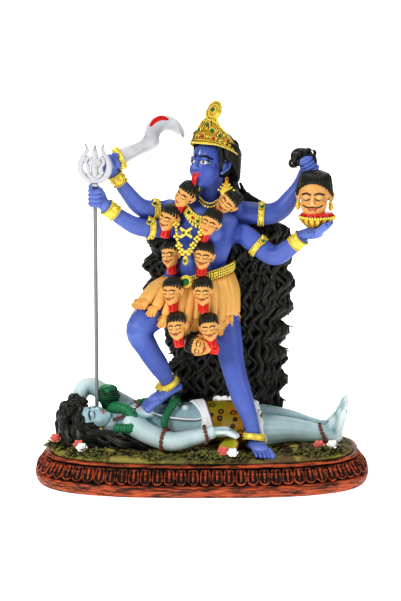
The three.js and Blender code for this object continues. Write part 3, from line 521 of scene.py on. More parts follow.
# Each row is a height and how far the wall stands in from the widest outline, in millimetres
WALL = [(0, 2.6), (0.5, 1.9), (2.2, 0.9), (4.2, 0.3), (5.8, 0.1), (6.7, 0.4), (7.3, 1.3), (7.6, 2.6),
        (8.2, 3.4), (10.5, 5.2), (13, 7.2), (15.4, 9.2), (15.9, 9.0), (16.3, 8.0), (16.6, 7.1), (17.1, 6.5),
        (17.6, 6.4), (18.1, 6.8), (18.45, 7.6), (18.5, 8.5), (18.2, 9.5), (18.0, 11)]
petal_count = round(outline_length() / PETAL_PITCH)
wall_points = petal_count * 4


def make_plinth_wall():
    deselect_all()
    bpy.ops.mesh.primitive_circle_add(vertices=wall_points, radius=1, fill_type="NGON")
    wall = bpy.context.object
    first, _ = plinth_outline(wall_points)
    set_coordinates(wall, np.c_[first, np.zeros(wall_points)])
    bpy.ops.object.mode_set(mode="EDIT")
    bpy.ops.mesh.select_all(action="SELECT")
    for (low, _), (high, _) in zip(WALL, WALL[1:]):
        rise = {"value": (0, 0, (high - low) * MM)}
        bpy.ops.mesh.extrude_region_move(TRANSFORM_OT_translate=rise)
    bpy.ops.object.mode_set(mode="OBJECT")
    co = coordinates(wall)
    column = np.argmin(((co[:, None, :2] - first[None]) ** 2).sum(2), axis=1)
    for height, inset in WALL:
        ring = np.abs(co[:, 2] - height * MM) < 0.01 * MM
        co[ring, :2] = plinth_outline(wall_points, inset * MM)[0][column[ring]]
    set_coordinates(wall, co)
    bpy.ops.object.mode_set(mode="EDIT")
    bpy.ops.mesh.select_all(action="SELECT")
    bpy.ops.mesh.normals_make_consistent(inside=False)
    bpy.ops.object.mode_set(mode="OBJECT")
    return wall


plinth_wall = make_plinth_wall()
print("The wall has", len(plinth_wall.data.vertices), "points in", len(WALL), "rows")

# %% [markdown]
# One lotus petal is a rounded tongue with a raised edge, a sunk face and a rib down its
# middle. It is made once, flat, from a circle that is pulled into a tongue and then extruded
# and inset, as one would press it in clay. The copies lean back against the wall.

# %% Lotus petals
PETAL_HALF_WIDTH, PETAL_LENGTH, PETAL_FOOT = 3.15 * MM, 9.7 * MM, 7.5 * MM
PETAL_IN, PETAL_UP = 6.6, 7.6


def make_petal():
    deselect_all()
    bpy.ops.mesh.primitive_circle_add(vertices=20, radius=1, fill_type="NGON")
    petal = bpy.context.object
    co = coordinates(petal)
    width = np.clip(co[:, 0] * 1.12, -1, 1) * PETAL_HALF_WIDTH
    tip = np.where(co[:, 1] < 0, (1 + co[:, 1]) * 0.38, 0.38 + np.minimum(co[:, 1] * 1.3, 1) * 0.62)
    set_coordinates(petal, np.c_[width, tip * PETAL_LENGTH, np.zeros(20)])
    bpy.ops.object.mode_set(mode="EDIT")
    bpy.ops.mesh.select_all(action="SELECT")
    bpy.ops.mesh.extrude_region_move(TRANSFORM_OT_translate={"value": (0, 0, 1.3 * MM)})
    bpy.ops.mesh.inset(thickness=0.25 * MM, depth=0.25 * MM)
    bpy.ops.mesh.inset(thickness=0.35 * MM, depth=0)
    bpy.ops.mesh.inset(thickness=0.3 * MM, depth=-0.75 * MM)
    bpy.ops.mesh.inset(thickness=0.5 * MM, depth=-0.1 * MM)
    bpy.ops.object.mode_set(mode="OBJECT")
    rib = limb([(0, 1.9 * MM, 0.9 * MM), (0, 5 * MM, 1.2 * MM), (0, 8.4 * MM, 1.3 * MM)],
               scaled(MM, 0.3, 0.75, 1.0), sides=6, rings=8, side=(0, 0, 1), flat=0.8)
    sides = [limb([(x * 2.1 * MM, 5.2 * MM, 0.9 * MM), (x * 2.2 * MM, 8.4 * MM, 1.1 * MM)],
                  scaled(MM, 0.2, 0.4), sides=4, rings=7, side=(0, 0, 1)) for x in (-1, 1)]
    return gather("petal", petal, rib, sides)


petal_model = make_petal()
places, out = plinth_outline(petal_count, 1.5 * MM)
rise = np.array([PETAL_IN, PETAL_UP]) / math.hypot(PETAL_IN, PETAL_UP)
petal_moves = []
for (x, y), (out_x, out_y) in zip(places, out):
    up = Vector((-out_x * rise[0], -out_y * rise[0], rise[1]))
    face = Vector((out_x * rise[1], out_y * rise[1], rise[0]))
    across = up.cross(face)
    petal_moves.append(Matrix((
        (across.x, up.x, face.x, x), (across.y, up.y, face.y, y), (across.z, up.z, face.z, PETAL_FOOT),
        (0, 0, 0, 1))))
petals = copies(petal_model, petal_moves, "petals")
print(petal_count, "petals stand on the wall")

# %% [markdown]
# The plinth is painted nearly black and then dry-brushed with rust orange, so the orange
# catches the ridges in streaks and the black stays in the hollows. The streaks are noise
# drawn out sideways on the bands.

# %% Dry-brushed rust paint
def dry_brushed_rust():
    made, tree, shader = new_material("dry_brushed_rust_resin", 0.45)
    relief = put(tree, "Attribute", attribute_name="relief").outputs["Fac"]
    streak = spots(tree, 2.6 * MM, detail=6, stretch=(0.22, 0.4, 2.2), roughness=0.72)
    strokes = between(tree, streak, 0.46, 0.62)
    rust = mix(tree, strokes, "#221310", "#6C2E1C")
    rust = mix(tree, between(tree, spots(tree, 9 * MM, 3), 0.5, 0.7), rust, "#3E221C")
    brushed = between(tree, relief, 0.54, 0.95)
    patchy = put(tree, "Math", {0: brushed, 1: between(tree, streak, 0.42, 0.58)},
                 operation="MULTIPLY").outputs[0]
    rust = mix(tree, patchy, rust, "#C05A32")
    rust = mix(tree, between(tree, relief, 0.42, 0.15), rust, "#1C1210")
    tree.links.new(rust, shader.inputs["Base Color"])
    worn = put(tree, "Bump", {"Height": streak, "Distance": 0.35 * MM, "Strength": 0.6})
    tree.links.new(worn.outputs[0], shader.inputs["Normal"])
    return made


plinth_piece = gather("lotus_plinth", plinth_wall, petals)
finish(plinth_piece, dry_brushed_rust(), "painted_resin_rust", "plinth", relief=(6, 0.35 * MM), thinned=0.8)

# %% [markdown]
# Inside the rim lies low ground with grass-green and brown paint. A grid is squeezed into
# the oval and pushed up and down with a few overlapping waves. Real ground on such figures
# is stippled clay, so shorter crossing waves add its lumps, and a bump in the paint its
# stipple.

# %% The ground
GROUND_INSET = 9.2 * MM
GROUND_THICKNESS = 2.2 * MM


def ground_height(x, y):
    swell = np.sin(x / MM * 0.11 + 1) * 0.4 + np.sin(y / MM * 0.23 + x / MM * 0.05) * 0.4
    return PLINTH_TOP + GROUND_THICKNESS * (1 + 0.5 * swell)


def lumps(x, y, size):
    """Clay lumps about the given size across, from -1 to 1."""
    a, b = x / size * 2 * math.pi, y / size * 2 * math.pi
    return (np.sin(a + 1.7 * np.sin(b * 0.7)) * np.cos(b + 1.3 * np.sin(a * 0.6 + 2))
            + 0.5 * np.sin(2.3 * a + b + 1) * np.cos(1.9 * b - a)) / 1.5


def make_ground():
    deselect_all()
    bpy.ops.mesh.primitive_grid_add(x_subdivisions=170, y_subdivisions=86, size=2)
    made = bpy.context.object
    u, v, _ = coordinates(made).T
    reach = np.maximum(np.abs(u), np.abs(v))
    round_reach = (np.abs(u) ** OUTLINE_SQUARENESS
                   + np.abs(v) ** OUTLINE_SQUARENESS) ** (1 / OUTLINE_SQUARENESS)
    shrink = np.where(round_reach > 0, reach / np.maximum(round_reach, 1e-9), 1)
    x = u * shrink * (PLINTH_LENGTH / 2 - GROUND_INSET)
    y = v * shrink * (PLINTH_DEPTH / 2 - GROUND_INSET)
    z = ground_height(x, y) + 0.75 * MM * lumps(x, y, 13 * MM) + 0.35 * MM * lumps(x, y, 3.6 * MM)
    edge = np.clip((1 - reach) / 0.05, 0, 1)
    set_coordinates(made, np.c_[x, y, PLINTH_TOP + 0.2 * MM + (z - PLINTH_TOP) * np.sqrt(edge)])
    apply_modifier(made, "SOLIDIFY", thickness=0.5 * MM, offset=-1)
    return named("ground", made)


def ground_paint():
    made, tree, shader = new_material("stippled_ground_paint", 0.6)
    relief = put(tree, "Attribute", attribute_name="relief").outputs["Fac"]
    grass = mix(tree, between(tree, spots(tree, 15 * MM, 4), 0.42, 0.52), "#55402A", "#7A763A")
    grass = mix(tree, between(tree, spots(tree, 12 * MM, 4, (1, 1, 1.01)), 0.51, 0.58), grass, "#A9A34C")
    grass = mix(tree, between(tree, spots(tree, 9 * MM, 4, (1, 1, 1.02)), 0.42, 0.34), grass, "#2A2016")
    grass = mix(tree, between(tree, relief, 0.64, 1.5), grass, "#84704A")
    grass = mix(tree, between(tree, relief, 0.42, 0.15), grass, "#1A150D")
    tree.links.new(grass, shader.inputs["Base Color"])
    stipple = put(tree, "Bump", {"Height": spots(tree, 1.1 * MM, 5), "Distance": 0.9 * MM, "Strength": 1.0})
    tree.links.new(stipple.outputs[0], shader.inputs["Normal"])
    return made


ground = make_ground()
finish(ground, ground_paint(), "painted_resin_pale_blue", relief=(10, 0.3 * MM), thinned=0.5)

# %% [markdown]
# Along the front edge grow leafy tufts, with red and white roses among them. A leaf is a
# flattened ball, and a rose is three rings of overlapping petals round a bud. One leaf and
# one petal are made and then copied. The leaves get a seeded turn and size, so that no two
# tufts look alike.

# %% Leaves and roses
growth = np.random.default_rng(7)
GREEN_HALF_LENGTH, GREEN_HALF_DEPTH = 92, 42
TUFTS = [(-87, -8), (-74, -27), (-68, -32), (-60, -35), (-29, -38), (-2, -40), (5, -40), (20, -39),
         (60, -32), (66, -30), (72, -26), (79, -21)]


def leaf_moves(spread, count):
    """So many leaves that stand up and outwards from each tuft, spread in millimetres."""
    for x, y in TUFTS:
        along = min(0.98, abs(x) / GREEN_HALF_LENGTH)
        edge = GREEN_HALF_DEPTH * (1 - along ** OUTLINE_SQUARENESS) ** (1 / OUTLINE_SQUARENESS)
        foot = min(1, edge / abs(y))
        for _ in range(count):
            angle, away = growth.uniform(0, 2 * math.pi), growth.uniform(0, 1) ** 0.7
            px = (x + math.cos(angle) * away * spread * 1.2) * MM
            py = (y * foot + math.sin(angle) * away * spread * 0.6) * MM
            lift = growth.uniform(0.2, 1) * (1 - away * away) * 4.2 * MM + 0.3 * MM
            lean = Matrix.Rotation(angle, 4, "Z") @ Matrix.Rotation(growth.uniform(-1.0, 0.5), 4, "Y")
            lean = lean @ Matrix.Rotation(growth.uniform(-0.8, 0.8), 4, "X")
            place = Vector((px, py, float(ground_height(px, py)) + lift))
            yield Matrix.Translation(place) @ lean @ Matrix.Scale(growth.uniform(0.7, 1.2), 4)


leaf = ball((1.0 * MM, 0, 0), scaled(MM, 1.75, 1.0, 0.4), segments=6, rings=4)
leaves = copies(leaf, list(leaf_moves(4.6, 60)), "leaves")
# The pale olive on the leaves' ridges is a painted highlight, and the near-black where leaves stand close
# is painted shade
leaf_paint = painted_resin("leaf_paint", "#20240F", "#040502", "#84844A", roughness=0.5, mottle=0.8,
                           brush_and_highlight=(0.66, 1.15), crevice=2.5 * MM)
finish(leaves, leaf_paint, "painted_resin_pale_blue", relief=(2, 0.25 * MM))

RED_ROSES = [(-73, -20), (-87.5, -7), (12.5, -36.5), (69, -23)]
WHITE_ROSES = [(-70.5, -30), (17.8, -39.5), (77, -21)]


def make_roses(name, spots_on_ground):
    petal_moves = []
    for x, y in spots_on_ground:
        tipped = Matrix.Rotation(0.6, 4, "X")
        base = Vector((x * MM, y * MM, float(ground_height(x * MM, y * MM)) + 4.6 * MM))
        for ring, (count, lean, away) in enumerate([(6, 0.5, 2.0), (5, 0.95, 1.15), (3, 1.3, 0.45)]):
            for k in range(count):
                turn = tipped @ Matrix.Rotation(2 * math.pi * k / count + ring * 0.5, 4, "Z")
                petal_moves.append(Matrix.Translation(base) @ turn @ Matrix.Translation(
                    (away * MM, 0, ring * 0.45 * MM)) @ Matrix.Rotation(-lean, 4, "Y"))
        petal_moves.append(Matrix.Translation(base - Vector((0, 0, 1.2 * MM))) @ Matrix.Scale(1.1, 4))
    rose_petal = ball((0, 0, 0), scaled(MM, 1.75, 1.45, 0.5), segments=9, rings=6)
    return copies(rose_petal, petal_moves, name)


finish(make_roses("red_roses", RED_ROSES),
       painted_resin("coral_rose_paint", "#C8322E", "#6E1214", "#EE8076"), "painted_resin_pale_blue",
       relief=(3, 0.2 * MM))
finish(make_roses("white_roses", WHITE_ROSES),
       painted_resin("white_rose_paint", "#D8D6D2", "#8C8984", "#FFFFFF"), "painted_resin_pale_blue",
       relief=(3, 0.2 * MM))

# %% [markdown]
# Her body is one piece of clay: trunk, breasts, shoulders, four arms and two legs, pressed
# together and smoothed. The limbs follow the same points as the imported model. Fingers and
# toes are laid on as a piece of their own, because the remesh would melt such thin ones
# together.

# %% Her body in clay
ARMS = {
    "sword": [(-4.8, 0.5, 67.4, 2.9), (-10.5, -0.5, 68.3, 2.7), (-16.7, -2.4, 69.3, 2.6),
              (-20.8, -3.8, 73.9, 2.1), (-23.3, -4.8, 77.7, 1.8), (-24.6, -5.1, 80, 1.7)],
    "trident": [(-4.8, -1.4, 62.9, 3.1), (-11.4, -2.8, 63.5, 2.7), (-17.2, -4.8, 64.2, 2.6),
                (-21.3, -6.4, 66.4, 2.3), (-25.1, -7.8, 69.4, 2), (-27.3, -8.7, 71.4, 1.8)],
    "topknot": [(5.7, 0.5, 67.1, 3.3), (11.4, 0.5, 67.6, 3.15), (18.1, 0.2, 67.1, 3.05),
                (21.9, 0.2, 68.3, 2.9), (24.6, 0, 71.4, 2.5), (27.3, -0.4, 75.4, 2.05),
                (29.2, -1.8, 80.4, 1.8)],
    "dish": [(4.8, -0.5, 62, 3.1), (10.5, -1.6, 62.2, 3), (14.2, -2.6, 59.9, 2.95),
             (18.1, -3.8, 56.9, 2.85), (20.9, -4.9, 56.3, 2.8), (24, -6.3, 58.4, 2.5),
             (27.2, -7.8, 61.4, 2.1)],
}
STANDING_LEG = [(4.5, 0, 45.7, 4.9), (6.1, -1.6, 38.1, 4.5), (7.3, -3.6, 32, 4.1), (9, -5.8, 23.6, 3.3),
                (11.2, -7.6, 16.5, 3.1), (13.5, -9, 10.2, 2.3), (14.7, -9.7, 5, 2.05)]
RAISED_LEG = [(-4.3, -0.5, 45.7, 5), (-11.4, -5.4, 41.2, 4.6), (-17.3, -10.6, 36.6, 3.9),
              (-15.2, -8.2, 30.4, 3.2), (-12.4, -4.8, 25, 2.95), (-10.6, -1.6, 21, 2.3),
              (-9.3, 0.4, 18.4, 2.05)]
STANDING_FOOT = [(14.3, -8.6, 2.7, 2.1), (15.4, -11.4, 3.3, 2.4), (16.4, -14, 2.6, 2.55)]
RAISED_FOOT = [(-7.1, 1.4, 17.2, 2.1), (-10.2, -0.5, 16, 2.4), (-13.3, -2.4, 14.2, 2.8)]
HAND_UNIT = 0.62 * HER_UNIT
RAISED_FIST, SHAFT_FIST = her(-25.4, -5.7, 82.3), her(-29.4, -9.5, 73.4)
SWORD_DIRECTION = Vector((0.905, 0, 0.425))
SHAFT_FOOT = his(-36.9, 6.2, 1.2)
SHAFT_DIRECTION = (SHAFT_FIST - SHAFT_FOOT).normalized()
DISH_CENTRE, TOPKNOT_GRIP = her(31.3, -8.1, 67.6), her(29.3, -4.5, 81.4)


def her_limb(rows, **settings):
    return limb([her(*row[:3]) for row in rows], [row[3] * HER_UNIT for row in rows], **settings)


def frame_on(bar, facing):
    """Axes for a hand on a bar: to the side, along the bar, and the way the knuckles face."""
    bar = Vector(bar).normalized()
    facing = Vector(facing)
    facing = (facing - bar * facing.dot(bar)).normalized()
    return facing.cross(bar), bar, facing


def fist(centre, bar, facing, bar_radius, unit, wrist):
    """Four fingers wrapped round a bar, the back of the hand and a thumb."""
    side, bar, facing = frame_on(bar, facing)
    reach = bar_radius + 1.05 * unit
    parts = []
    for k in range(4):
        middle = centre + bar * (k - 1.5) * 2.05 * unit
        arc = [middle + (side * math.sin(a) + facing * math.cos(a)) * reach * grown
               for a, grown in ((-2.6, 1.25), (-1.6, 1.2), (-0.7, 1.12), (0.1, 1.08), (0.9, 1.0),
                                (1.7, 0.9))]
        parts.append(limb(arc, scaled(unit, 1.2, 1.25, 1.2, 1.15, 1.05, 0.85), sides=8))
    palm = centre - facing * (reach + 0.8 * unit)
    axes = Matrix((side, -facing, bar)).transposed()
    parts.append(ball(palm, scaled(unit, 2.9, 1.9, 4.0), axes))
    parts.append(limb([palm, (palm + wrist) / 2, wrist], scaled(unit, 2.8, 2.6, 2.7)))
    thumb = [palm + bar * 2.6 * unit + side * 1.5 * unit, centre + bar * 4.4 * unit + side * reach,
             centre + bar * 4.5 * unit + facing * reach * 0.9 + side * 0.4 * unit,
             centre + bar * 3.6 * unit + facing * reach * 1.3 - side * 1.6 * unit]
    parts.append(limb(thumb, scaled(unit, 1.5, 1.35, 1.25, 1.0), sides=8))
    return parts


def open_hand(wrist, turned, unit, curl, plump, spread=0.14):
    """A flat hand: side is across the palm, forward runs to the fingertips."""
    parts = [limb([beside(wrist, turned, 0, -2 * unit, 0), beside(wrist, turned, 0, 3 * unit, 0.2 * unit),
                   beside(wrist, turned, 0, 7.5 * unit, 0.3 * unit)],
                  scaled(unit, 2.6, 3.6, 3.7), flat=0.5 * plump, side=turned @ Vector((0, 0, 1)))]
    for k, length in enumerate((6.6, 7.8, 7.4, 6)):
        across = (k - 1.5) * 1.85
        fan = across * spread
        line = [beside(wrist, turned, across * unit, 6.5 * unit, 0.3 * unit),
                beside(wrist, turned, (across + fan * 2) * unit, (7 + length * 0.5) * unit,
                       (0.5 + curl * 9) * unit),
                beside(wrist, turned, (across + fan * 4) * unit, (7 + length) * unit,
                       (0.3 + curl * 26) * unit)]
        parts.append(limb(line, [1.15 * unit * plump, 1.1 * unit * plump, 0.85 * unit * plump], sides=8))
    parts.append(limb([beside(wrist, turned, -2 * unit, 1.5 * unit, 0),
                       beside(wrist, turned, -4.2 * unit, 4.5 * unit, 0.6 * unit),
                       beside(wrist, turned, -4.8 * unit, 7.6 * unit, 1.2 * unit)],
                      scaled(unit, 1.6, 1.35, 0.95), sides=8))
    return parts


def bare_foot(rows, place, size, up, toe_fan):
    """A foot with its heel and five toes. place(row) gives points, up is the instep's side."""
    points = [place(*row[:3]) for row in rows]
    parts = [limb(points, [row[3] * size for row in rows], flat=0.66, side=up, blunt=0.7)]
    ahead = (points[-1] - points[-2]).normalized()
    across = ahead.cross(Vector(up)).normalized()
    toes = rows[-1][3] * size
    for k in range(5):
        offset = (k - 2) * 0.46 * toes * toe_fan
        long = (1.05, 1.0, 0.94, 0.84, 0.7)[k]
        root = points[-1] + across * offset + ahead * 0.1 * toes
        tip = root + ahead * toes * 1.3 * long - Vector(up) * 0.14 * toes
        thick = (0.33, 0.24, 0.23, 0.22, 0.2)[k] * toes
        parts.append(limb([root, (root + tip) / 2 + Vector(up) * 0.1 * toes, tip],
                          [thick, thick, thick * 0.95], sides=8))
    return parts


def her_trunk():
    spine = [(-2.9, 0, 40), (-2.6, 0, 45), (-1.5, 0, 49.5), (-1, -0.5, 54.3), (-0.4, -1, 59.5),
             (0.3, -1, 64.8), (1.2, -0.5, 68.6), (1.9, -0.5, 71.6)]
    widths = [6.6, 9, 9, 8.1, 9.1, 10, 9.2, 4.4]
    parts = [limb([her(*p) for p in spine], [w * HER_UNIT for w in widths], sides=24, rings=30, flat=0.62,
                  side=HER_AHEAD, blunt=0.2)]
    parts.append(her_limb([(1.6, -0.4, 69, 4), (2.4, -0.6, 73, 2.9), (3, -0.8, 78, 3.1)]))
    chest = her(0, -1, 62.6)
    belly = her(-1.2, -0.9, 53)
    for side in (-1, 1):
        parts.append(ball(beside(chest, HER_BODY, side * 4.0 * HER_UNIT, 3.1 * HER_UNIT, 0.6 * HER_UNIT),
                          scaled(HER_UNIT, 3.6, 3.2, 3.9), HER_BODY, 24, 16))
        parts.append(ball(beside(chest, HER_BODY, side * 4.4 * HER_UNIT, 6.2 * HER_UNIT, 0.3 * HER_UNIT),
                          (0.55 * HER_UNIT,) * 3, HER_BODY, 8, 6))
    parts.append(ball(beside(belly, HER_BODY, 0, 2.6 * HER_UNIT, 0),
                      scaled(HER_UNIT, 5.6, 3.4, 4.6), HER_BODY, 20, 14))
    return parts


def her_hands():
    wrists = {name: her(*rows[-1][:3]) for name, rows in ARMS.items()}
    palm = DISH_CENTRE + Vector((-3.4, 0.3, -5.0)) * HER_UNIT
    return [
        fist(RAISED_FIST, SWORD_DIRECTION, (-0.6, -0.5, 0.6), 2.1 * MM, HAND_UNIT, wrists["sword"]),
        fist(SHAFT_FIST, SHAFT_DIRECTION, (-0.75, -0.66, 0), 1.3 * MM, HAND_UNIT, wrists["trident"]),
        fist(TOPKNOT_GRIP, (-0.5, -0.1, 0.86), (0.4, -0.86, 0.2), 1.2 * HER_UNIT, HAND_UNIT * 0.85,
             wrists["topknot"]),
        open_hand(palm, turning(66, 10, -6), HAND_UNIT * 0.96, curl=0.14, plump=1.6)]


def her_body():
    parts = [her_trunk()] + [her_limb(rows, sides=16, rings=6 * len(rows)) for rows in ARMS.values()]
    parts += [her_limb(rows, sides=18, rings=6 * len(rows)) for rows in (STANDING_LEG, RAISED_LEG)]
    for rows in ARMS.values():
        x, y, z, r = rows[1]
        parts.append(ball(her(x * 0.86, y, z + 0.2), (r * 1.12 * HER_UNIT,) * 3))
    return parts


hands = her_hands()
feet = [bare_foot(STANDING_FOOT, her, HER_UNIT, (0, 0.1, 1), 0.95),
        bare_foot(RAISED_FOOT, her, HER_UNIT, Vector((0.25, 0.2, 1)).normalized(), 0.95)]
digits = [hand[:4] + hand[-1:] for hand in hands[:3]] + [hands[3][1:]] + [foot[1:] for foot in feet]
palms = [hand[4:-1] for hand in hands[:3]] + [hands[3][0]] + [foot[0] for foot in feet]
kali_skin = model_clay("kali_skin", her_body() + palms, 0.8 * MM, 4)
# An even blue with painted shade in the hollows and a pale painted highlight on each swelling gives dull,
# full skin
blue_skin = painted_resin("lilac_blue_skin_paint", "#3F54A8", "#1C2A66", "#7488D0", mottle=0.18,
                          wash_and_shade=(0.47, 0.15), brush_and_highlight=(0.53, 0.95))
finish(kali_skin, blue_skin, "painted_resin_blue", "kali", relief=(30, 0.9 * MM), thinned=0.5)
finish(gather("kali_fingers_and_toes", digits), blue_skin, "painted_resin_blue", relief=(4, 0.8 * MM))

# %% [markdown]
# One plain head of soft, even features is modelled at a height of one, in clay. Every head
# on the figurine is a copy of it, scaled and set in place, with its own paint. It is made
# with a fine grain for the three large faces, and with a coarser one for the garland's small
# heads, where a fine grain would only be weight.

# %% The model head
def head_parts():
    parts = [ball((0, 0.06, 0.14), (0.34, 0.42, 0.36), segments=28, rings=20),
             ball((0, -0.1, -0.12), (0.275, 0.3, 0.37), segments=28, rings=20),
             ball((0, -0.235, -0.385), (0.11, 0.1, 0.1)),
             ball((0, -0.345, 0.075), (0.21, 0.05, 0.045))]
    for side in (-1, 1):
        parts.append(ball((side * 0.135, -0.2, -0.15), (0.14, 0.145, 0.16)))
        parts.append(ball((side * 0.13, -0.315, 0.0), (0.088, 0.07, 0.062)))
        parts.append(limb([(side * 0.06, -0.365, 0.035), (side * 0.13, -0.385, 0.055),
                           (side * 0.2, -0.34, 0.02)],
                          [0.016, 0.022, 0.014], sides=8))
        parts.append(ball((side * 0.04, -0.405, -0.13), (0.034, 0.04, 0.028)))
        parts.append(limb([(side * 0.32, -0.01, 0.06), (side * 0.35, 0.03, 0.12),
                           (side * 0.385, 0.11, 0.08), (side * 0.375, 0.1, -0.03),
                           (side * 0.33, 0.03, -0.12), (side * 0.31, 0.0, -0.16)],
                          [0.02, 0.028, 0.03, 0.028, 0.03, 0.03], sides=8, rings=24))
        parts.append(ball((side * 0.33, 0.06, -0.01), (0.03, 0.07, 0.12)))
    parts.append(limb([(0, -0.37, 0.06), (0, -0.415, -0.03), (0, -0.44, -0.1), (0, -0.42, -0.135)],
                      [0.036, 0.036, 0.045, 0.034], sides=12))
    parts.append(limb([(-0.1, -0.325, -0.232), (-0.04, -0.375, -0.222), (0, -0.38, -0.23),
                       (0.04, -0.375, -0.222), (0.1, -0.325, -0.232)], [0.014, 0.026, 0.023, 0.026, 0.014],
                      sides=8))
    parts.append(limb([(-0.09, -0.325, -0.25), (0, -0.37, -0.272), (0.09, -0.325, -0.25)],
                      [0.014, 0.033, 0.014], sides=8))
    return parts


head_model = model_clay("head_model", head_parts(), 0.0125, 4)
small_head = model_clay("small_head", head_parts(), 0.0225, 2)
print("The model heads have", len(head_model.data.polygons), "and", len(small_head.data.polygons), "faces")


def soft(distance, edge):
    """1 inside a shape and 0 outside, with a soft edge of the given width."""
    return np.clip(0.5 - distance / edge, 0, 1)


def blob(shape, x, z, width, height):
    """How far face points lie outside an ellipse, seen from the front."""
    return (np.hypot((shape[:, 0] - x) / width, (shape[:, 2] - z) / height) - 1) * min(width, height)


def stroke(shape, points, thickness):
    """How far face points lie outside a painted line, seen from the front."""
    line = smooth_line(points, np.linspace(0, 1, 40))
    away = np.linalg.norm(shape[:, None, ::2] - line[None], axis=2).min(1)
    return away - thickness


def face_paint(model, skin, lips, hair_colour, open_eyes=False, moustache=0.0, blush=None, mark=None):
    """The colour of each point of the head: skin, brows, eyes, lips and facial hair."""
    shape = coordinates(model)
    paint = np.tile(linear(skin), (len(shape), 1))
    front = shape[:, 1] < -0.16

    def daub(distance, colour, edge=0.012, strength=1.0):
        share = (soft(distance, edge) * front * strength)[:, None]
        paint[:] = paint * (1 - share) + np.array(linear(colour)) * share

    if blush:
        for side in (-1, 1):
            daub(blob(shape, side * 0.17, -0.13, 0.1, 0.08), blush, 0.08, 0.35)
    if mark:
        daub(blob(shape, 0, 0.17, 0.018, 0.03), mark)
        daub(stroke(shape, [(0, 0.18), (0, 0.23)], 0.007), mark)
    for side in (-1, 1):
        brow = [(side * 0.045, 0.095), (side * 0.13, 0.125), (side * 0.225, 0.085)]
        daub(stroke(shape, brow, 0.022), hair_colour)
        if open_eyes:
            daub(blob(shape, side * 0.135, 0.0, 0.088, 0.05), "#14100E")
            daub(blob(shape, side * 0.135, -0.003, 0.074, 0.036), "#F7F4EE")
            daub(blob(shape, side * 0.135, 0.004, 0.034, 0.036), "#0C0A0A")
            # A small white dot high on each iris is a painted glint
            daub(blob(shape, side * 0.135 - 0.012, 0.016, 0.009, 0.009), "#FFFFFF", 0.006)
        else:
            daub(stroke(shape, [(side * 0.07, -0.012), (side * 0.13, -0.032), (side * 0.195, -0.012)],
                        0.018), "#2A1A12")
        if moustache:
            curve = [(side * 0.01, -0.185), (side * 0.075, -0.2), (side * 0.15, -0.185),
                     (side * 0.2, -0.15)]
            daub(stroke(shape, curve, moustache), hair_colour)
    daub(blob(shape, 0, -0.228, 0.1, 0.024), lips, 0.014)
    daub(blob(shape, 0, -0.262, 0.085, 0.03), lips, 0.014)
    daub(stroke(shape, [(-0.09, -0.242), (0, -0.247), (0.09, -0.242)], 0.003), "#3A0E0C", 0.008)
    return paint


def place_head(name, model, centre, axes, height, paint, width=1.0):
    """A copy of the model head in a frame whose axes are side, back and up."""
    shape = Matrix(axes) @ Matrix.Diagonal((height * width, height, height))
    mesh = model.data.copy()
    mesh.transform(Matrix.Translation(centre) @ shape.to_4x4())
    made = bpy.data.objects.new(name, mesh)
    bpy.context.collection.objects.link(made)
    kept = mesh.color_attributes.new("paint", "FLOAT_COLOR", "POINT")
    kept.data.foreach_set("color", np.asarray(paint, np.float32).ravel())
    return made


def on_head(side, forward, up):
    return beside(HER_HEAD_CENTRE, HER_HEAD, side * HER_UNIT, forward * HER_UNIT, up * HER_UNIT)


HER_FACE = turning(-41, 13, 0)
HER_FACE_TALL = 14.2 * HER_UNIT
her_paint = face_paint(head_model, "#4C60B0", "#B83A54", "#0C0C14", open_eyes=True, mark="#E4E6F4")
her_face = place_head("kali_face", head_model, on_head(-0.3, 1.0, -0.5), HER_FACE, HER_FACE_TALL, her_paint,
                      1.06)
# Her face has the same painted shade in its hollows and painted highlight on its swellings as her body
finish(her_face, painted_resin("painted_blue_face", None, "#1E2C6C", "#7C90D4", mottle=0.05),
       "painted_resin_blue", relief=(24, 0.9 * MM))
# Blood is a thicker, glossier red than the other paints, as if still wet
blood_red = painted_resin("blood_red_paint", "#C01410", "#560608", "#E24036", roughness=0.25)
tongue = [beside(on_head(-0.3, 1.2, -0.5), HER_FACE, 0, f * HER_UNIT, u * HER_UNIT)
          for f, u in ((4.2, -3.3), (5.2, -3.7), (5.5, -5.2), (5.1, -7.6))]
tongue = limb(tongue, scaled(HER_UNIT, 0.8, 0.95, 0.9, 0.55), sides=14, rings=24,
              flat=0.4, side=HER_FACE @ Vector((0, -1, 0)))
finish(named("kali_tongue", tongue), blood_red, "painted_resin_blue", relief=(4, 0.3 * MM))

# %% [markdown]
# The hair falls behind her in heavy waves to the ground. A rounded mass carries it, and
# thick tapered locks are laid over the mass from the crown downwards, each with grooves and
# a wave of its own. They overlap as strips of clay do, and aren't melted together.

# %% The fall of hair
HAIR_FALL = np.array([
    (84, 6.8, 2.6, 3.5, 3), (77, 6.8, 2.8, 4.8, 3.4), (72, 5.4, 8.6, 5.6, 3.8), (67, 5, 15, 6.6, 4.2),
    (61, 5, 19.2, 7.6, 4.8), (52, 4.6, 20, 8.6, 5.2), (43, 5.2, 20.6, 9, 5.6), (36, 6, 18.4, 9.6, 5.8),
    (28, 6.8, 16.4, 10.2, 5.6), (20, 7.6, 16.2, 10.8, 5.4), (10, 7.4, 15, 11.2, 5),
    (0.4, 6.8, 14.2, 11.2, 5)])

# Each row of locks is the height where it begins and how many locks it holds
LOCK_ROWS = [(74, 22), (66, 34), (56, 40), (45, 42), (34, 40), (23, 38), (12, 34)]


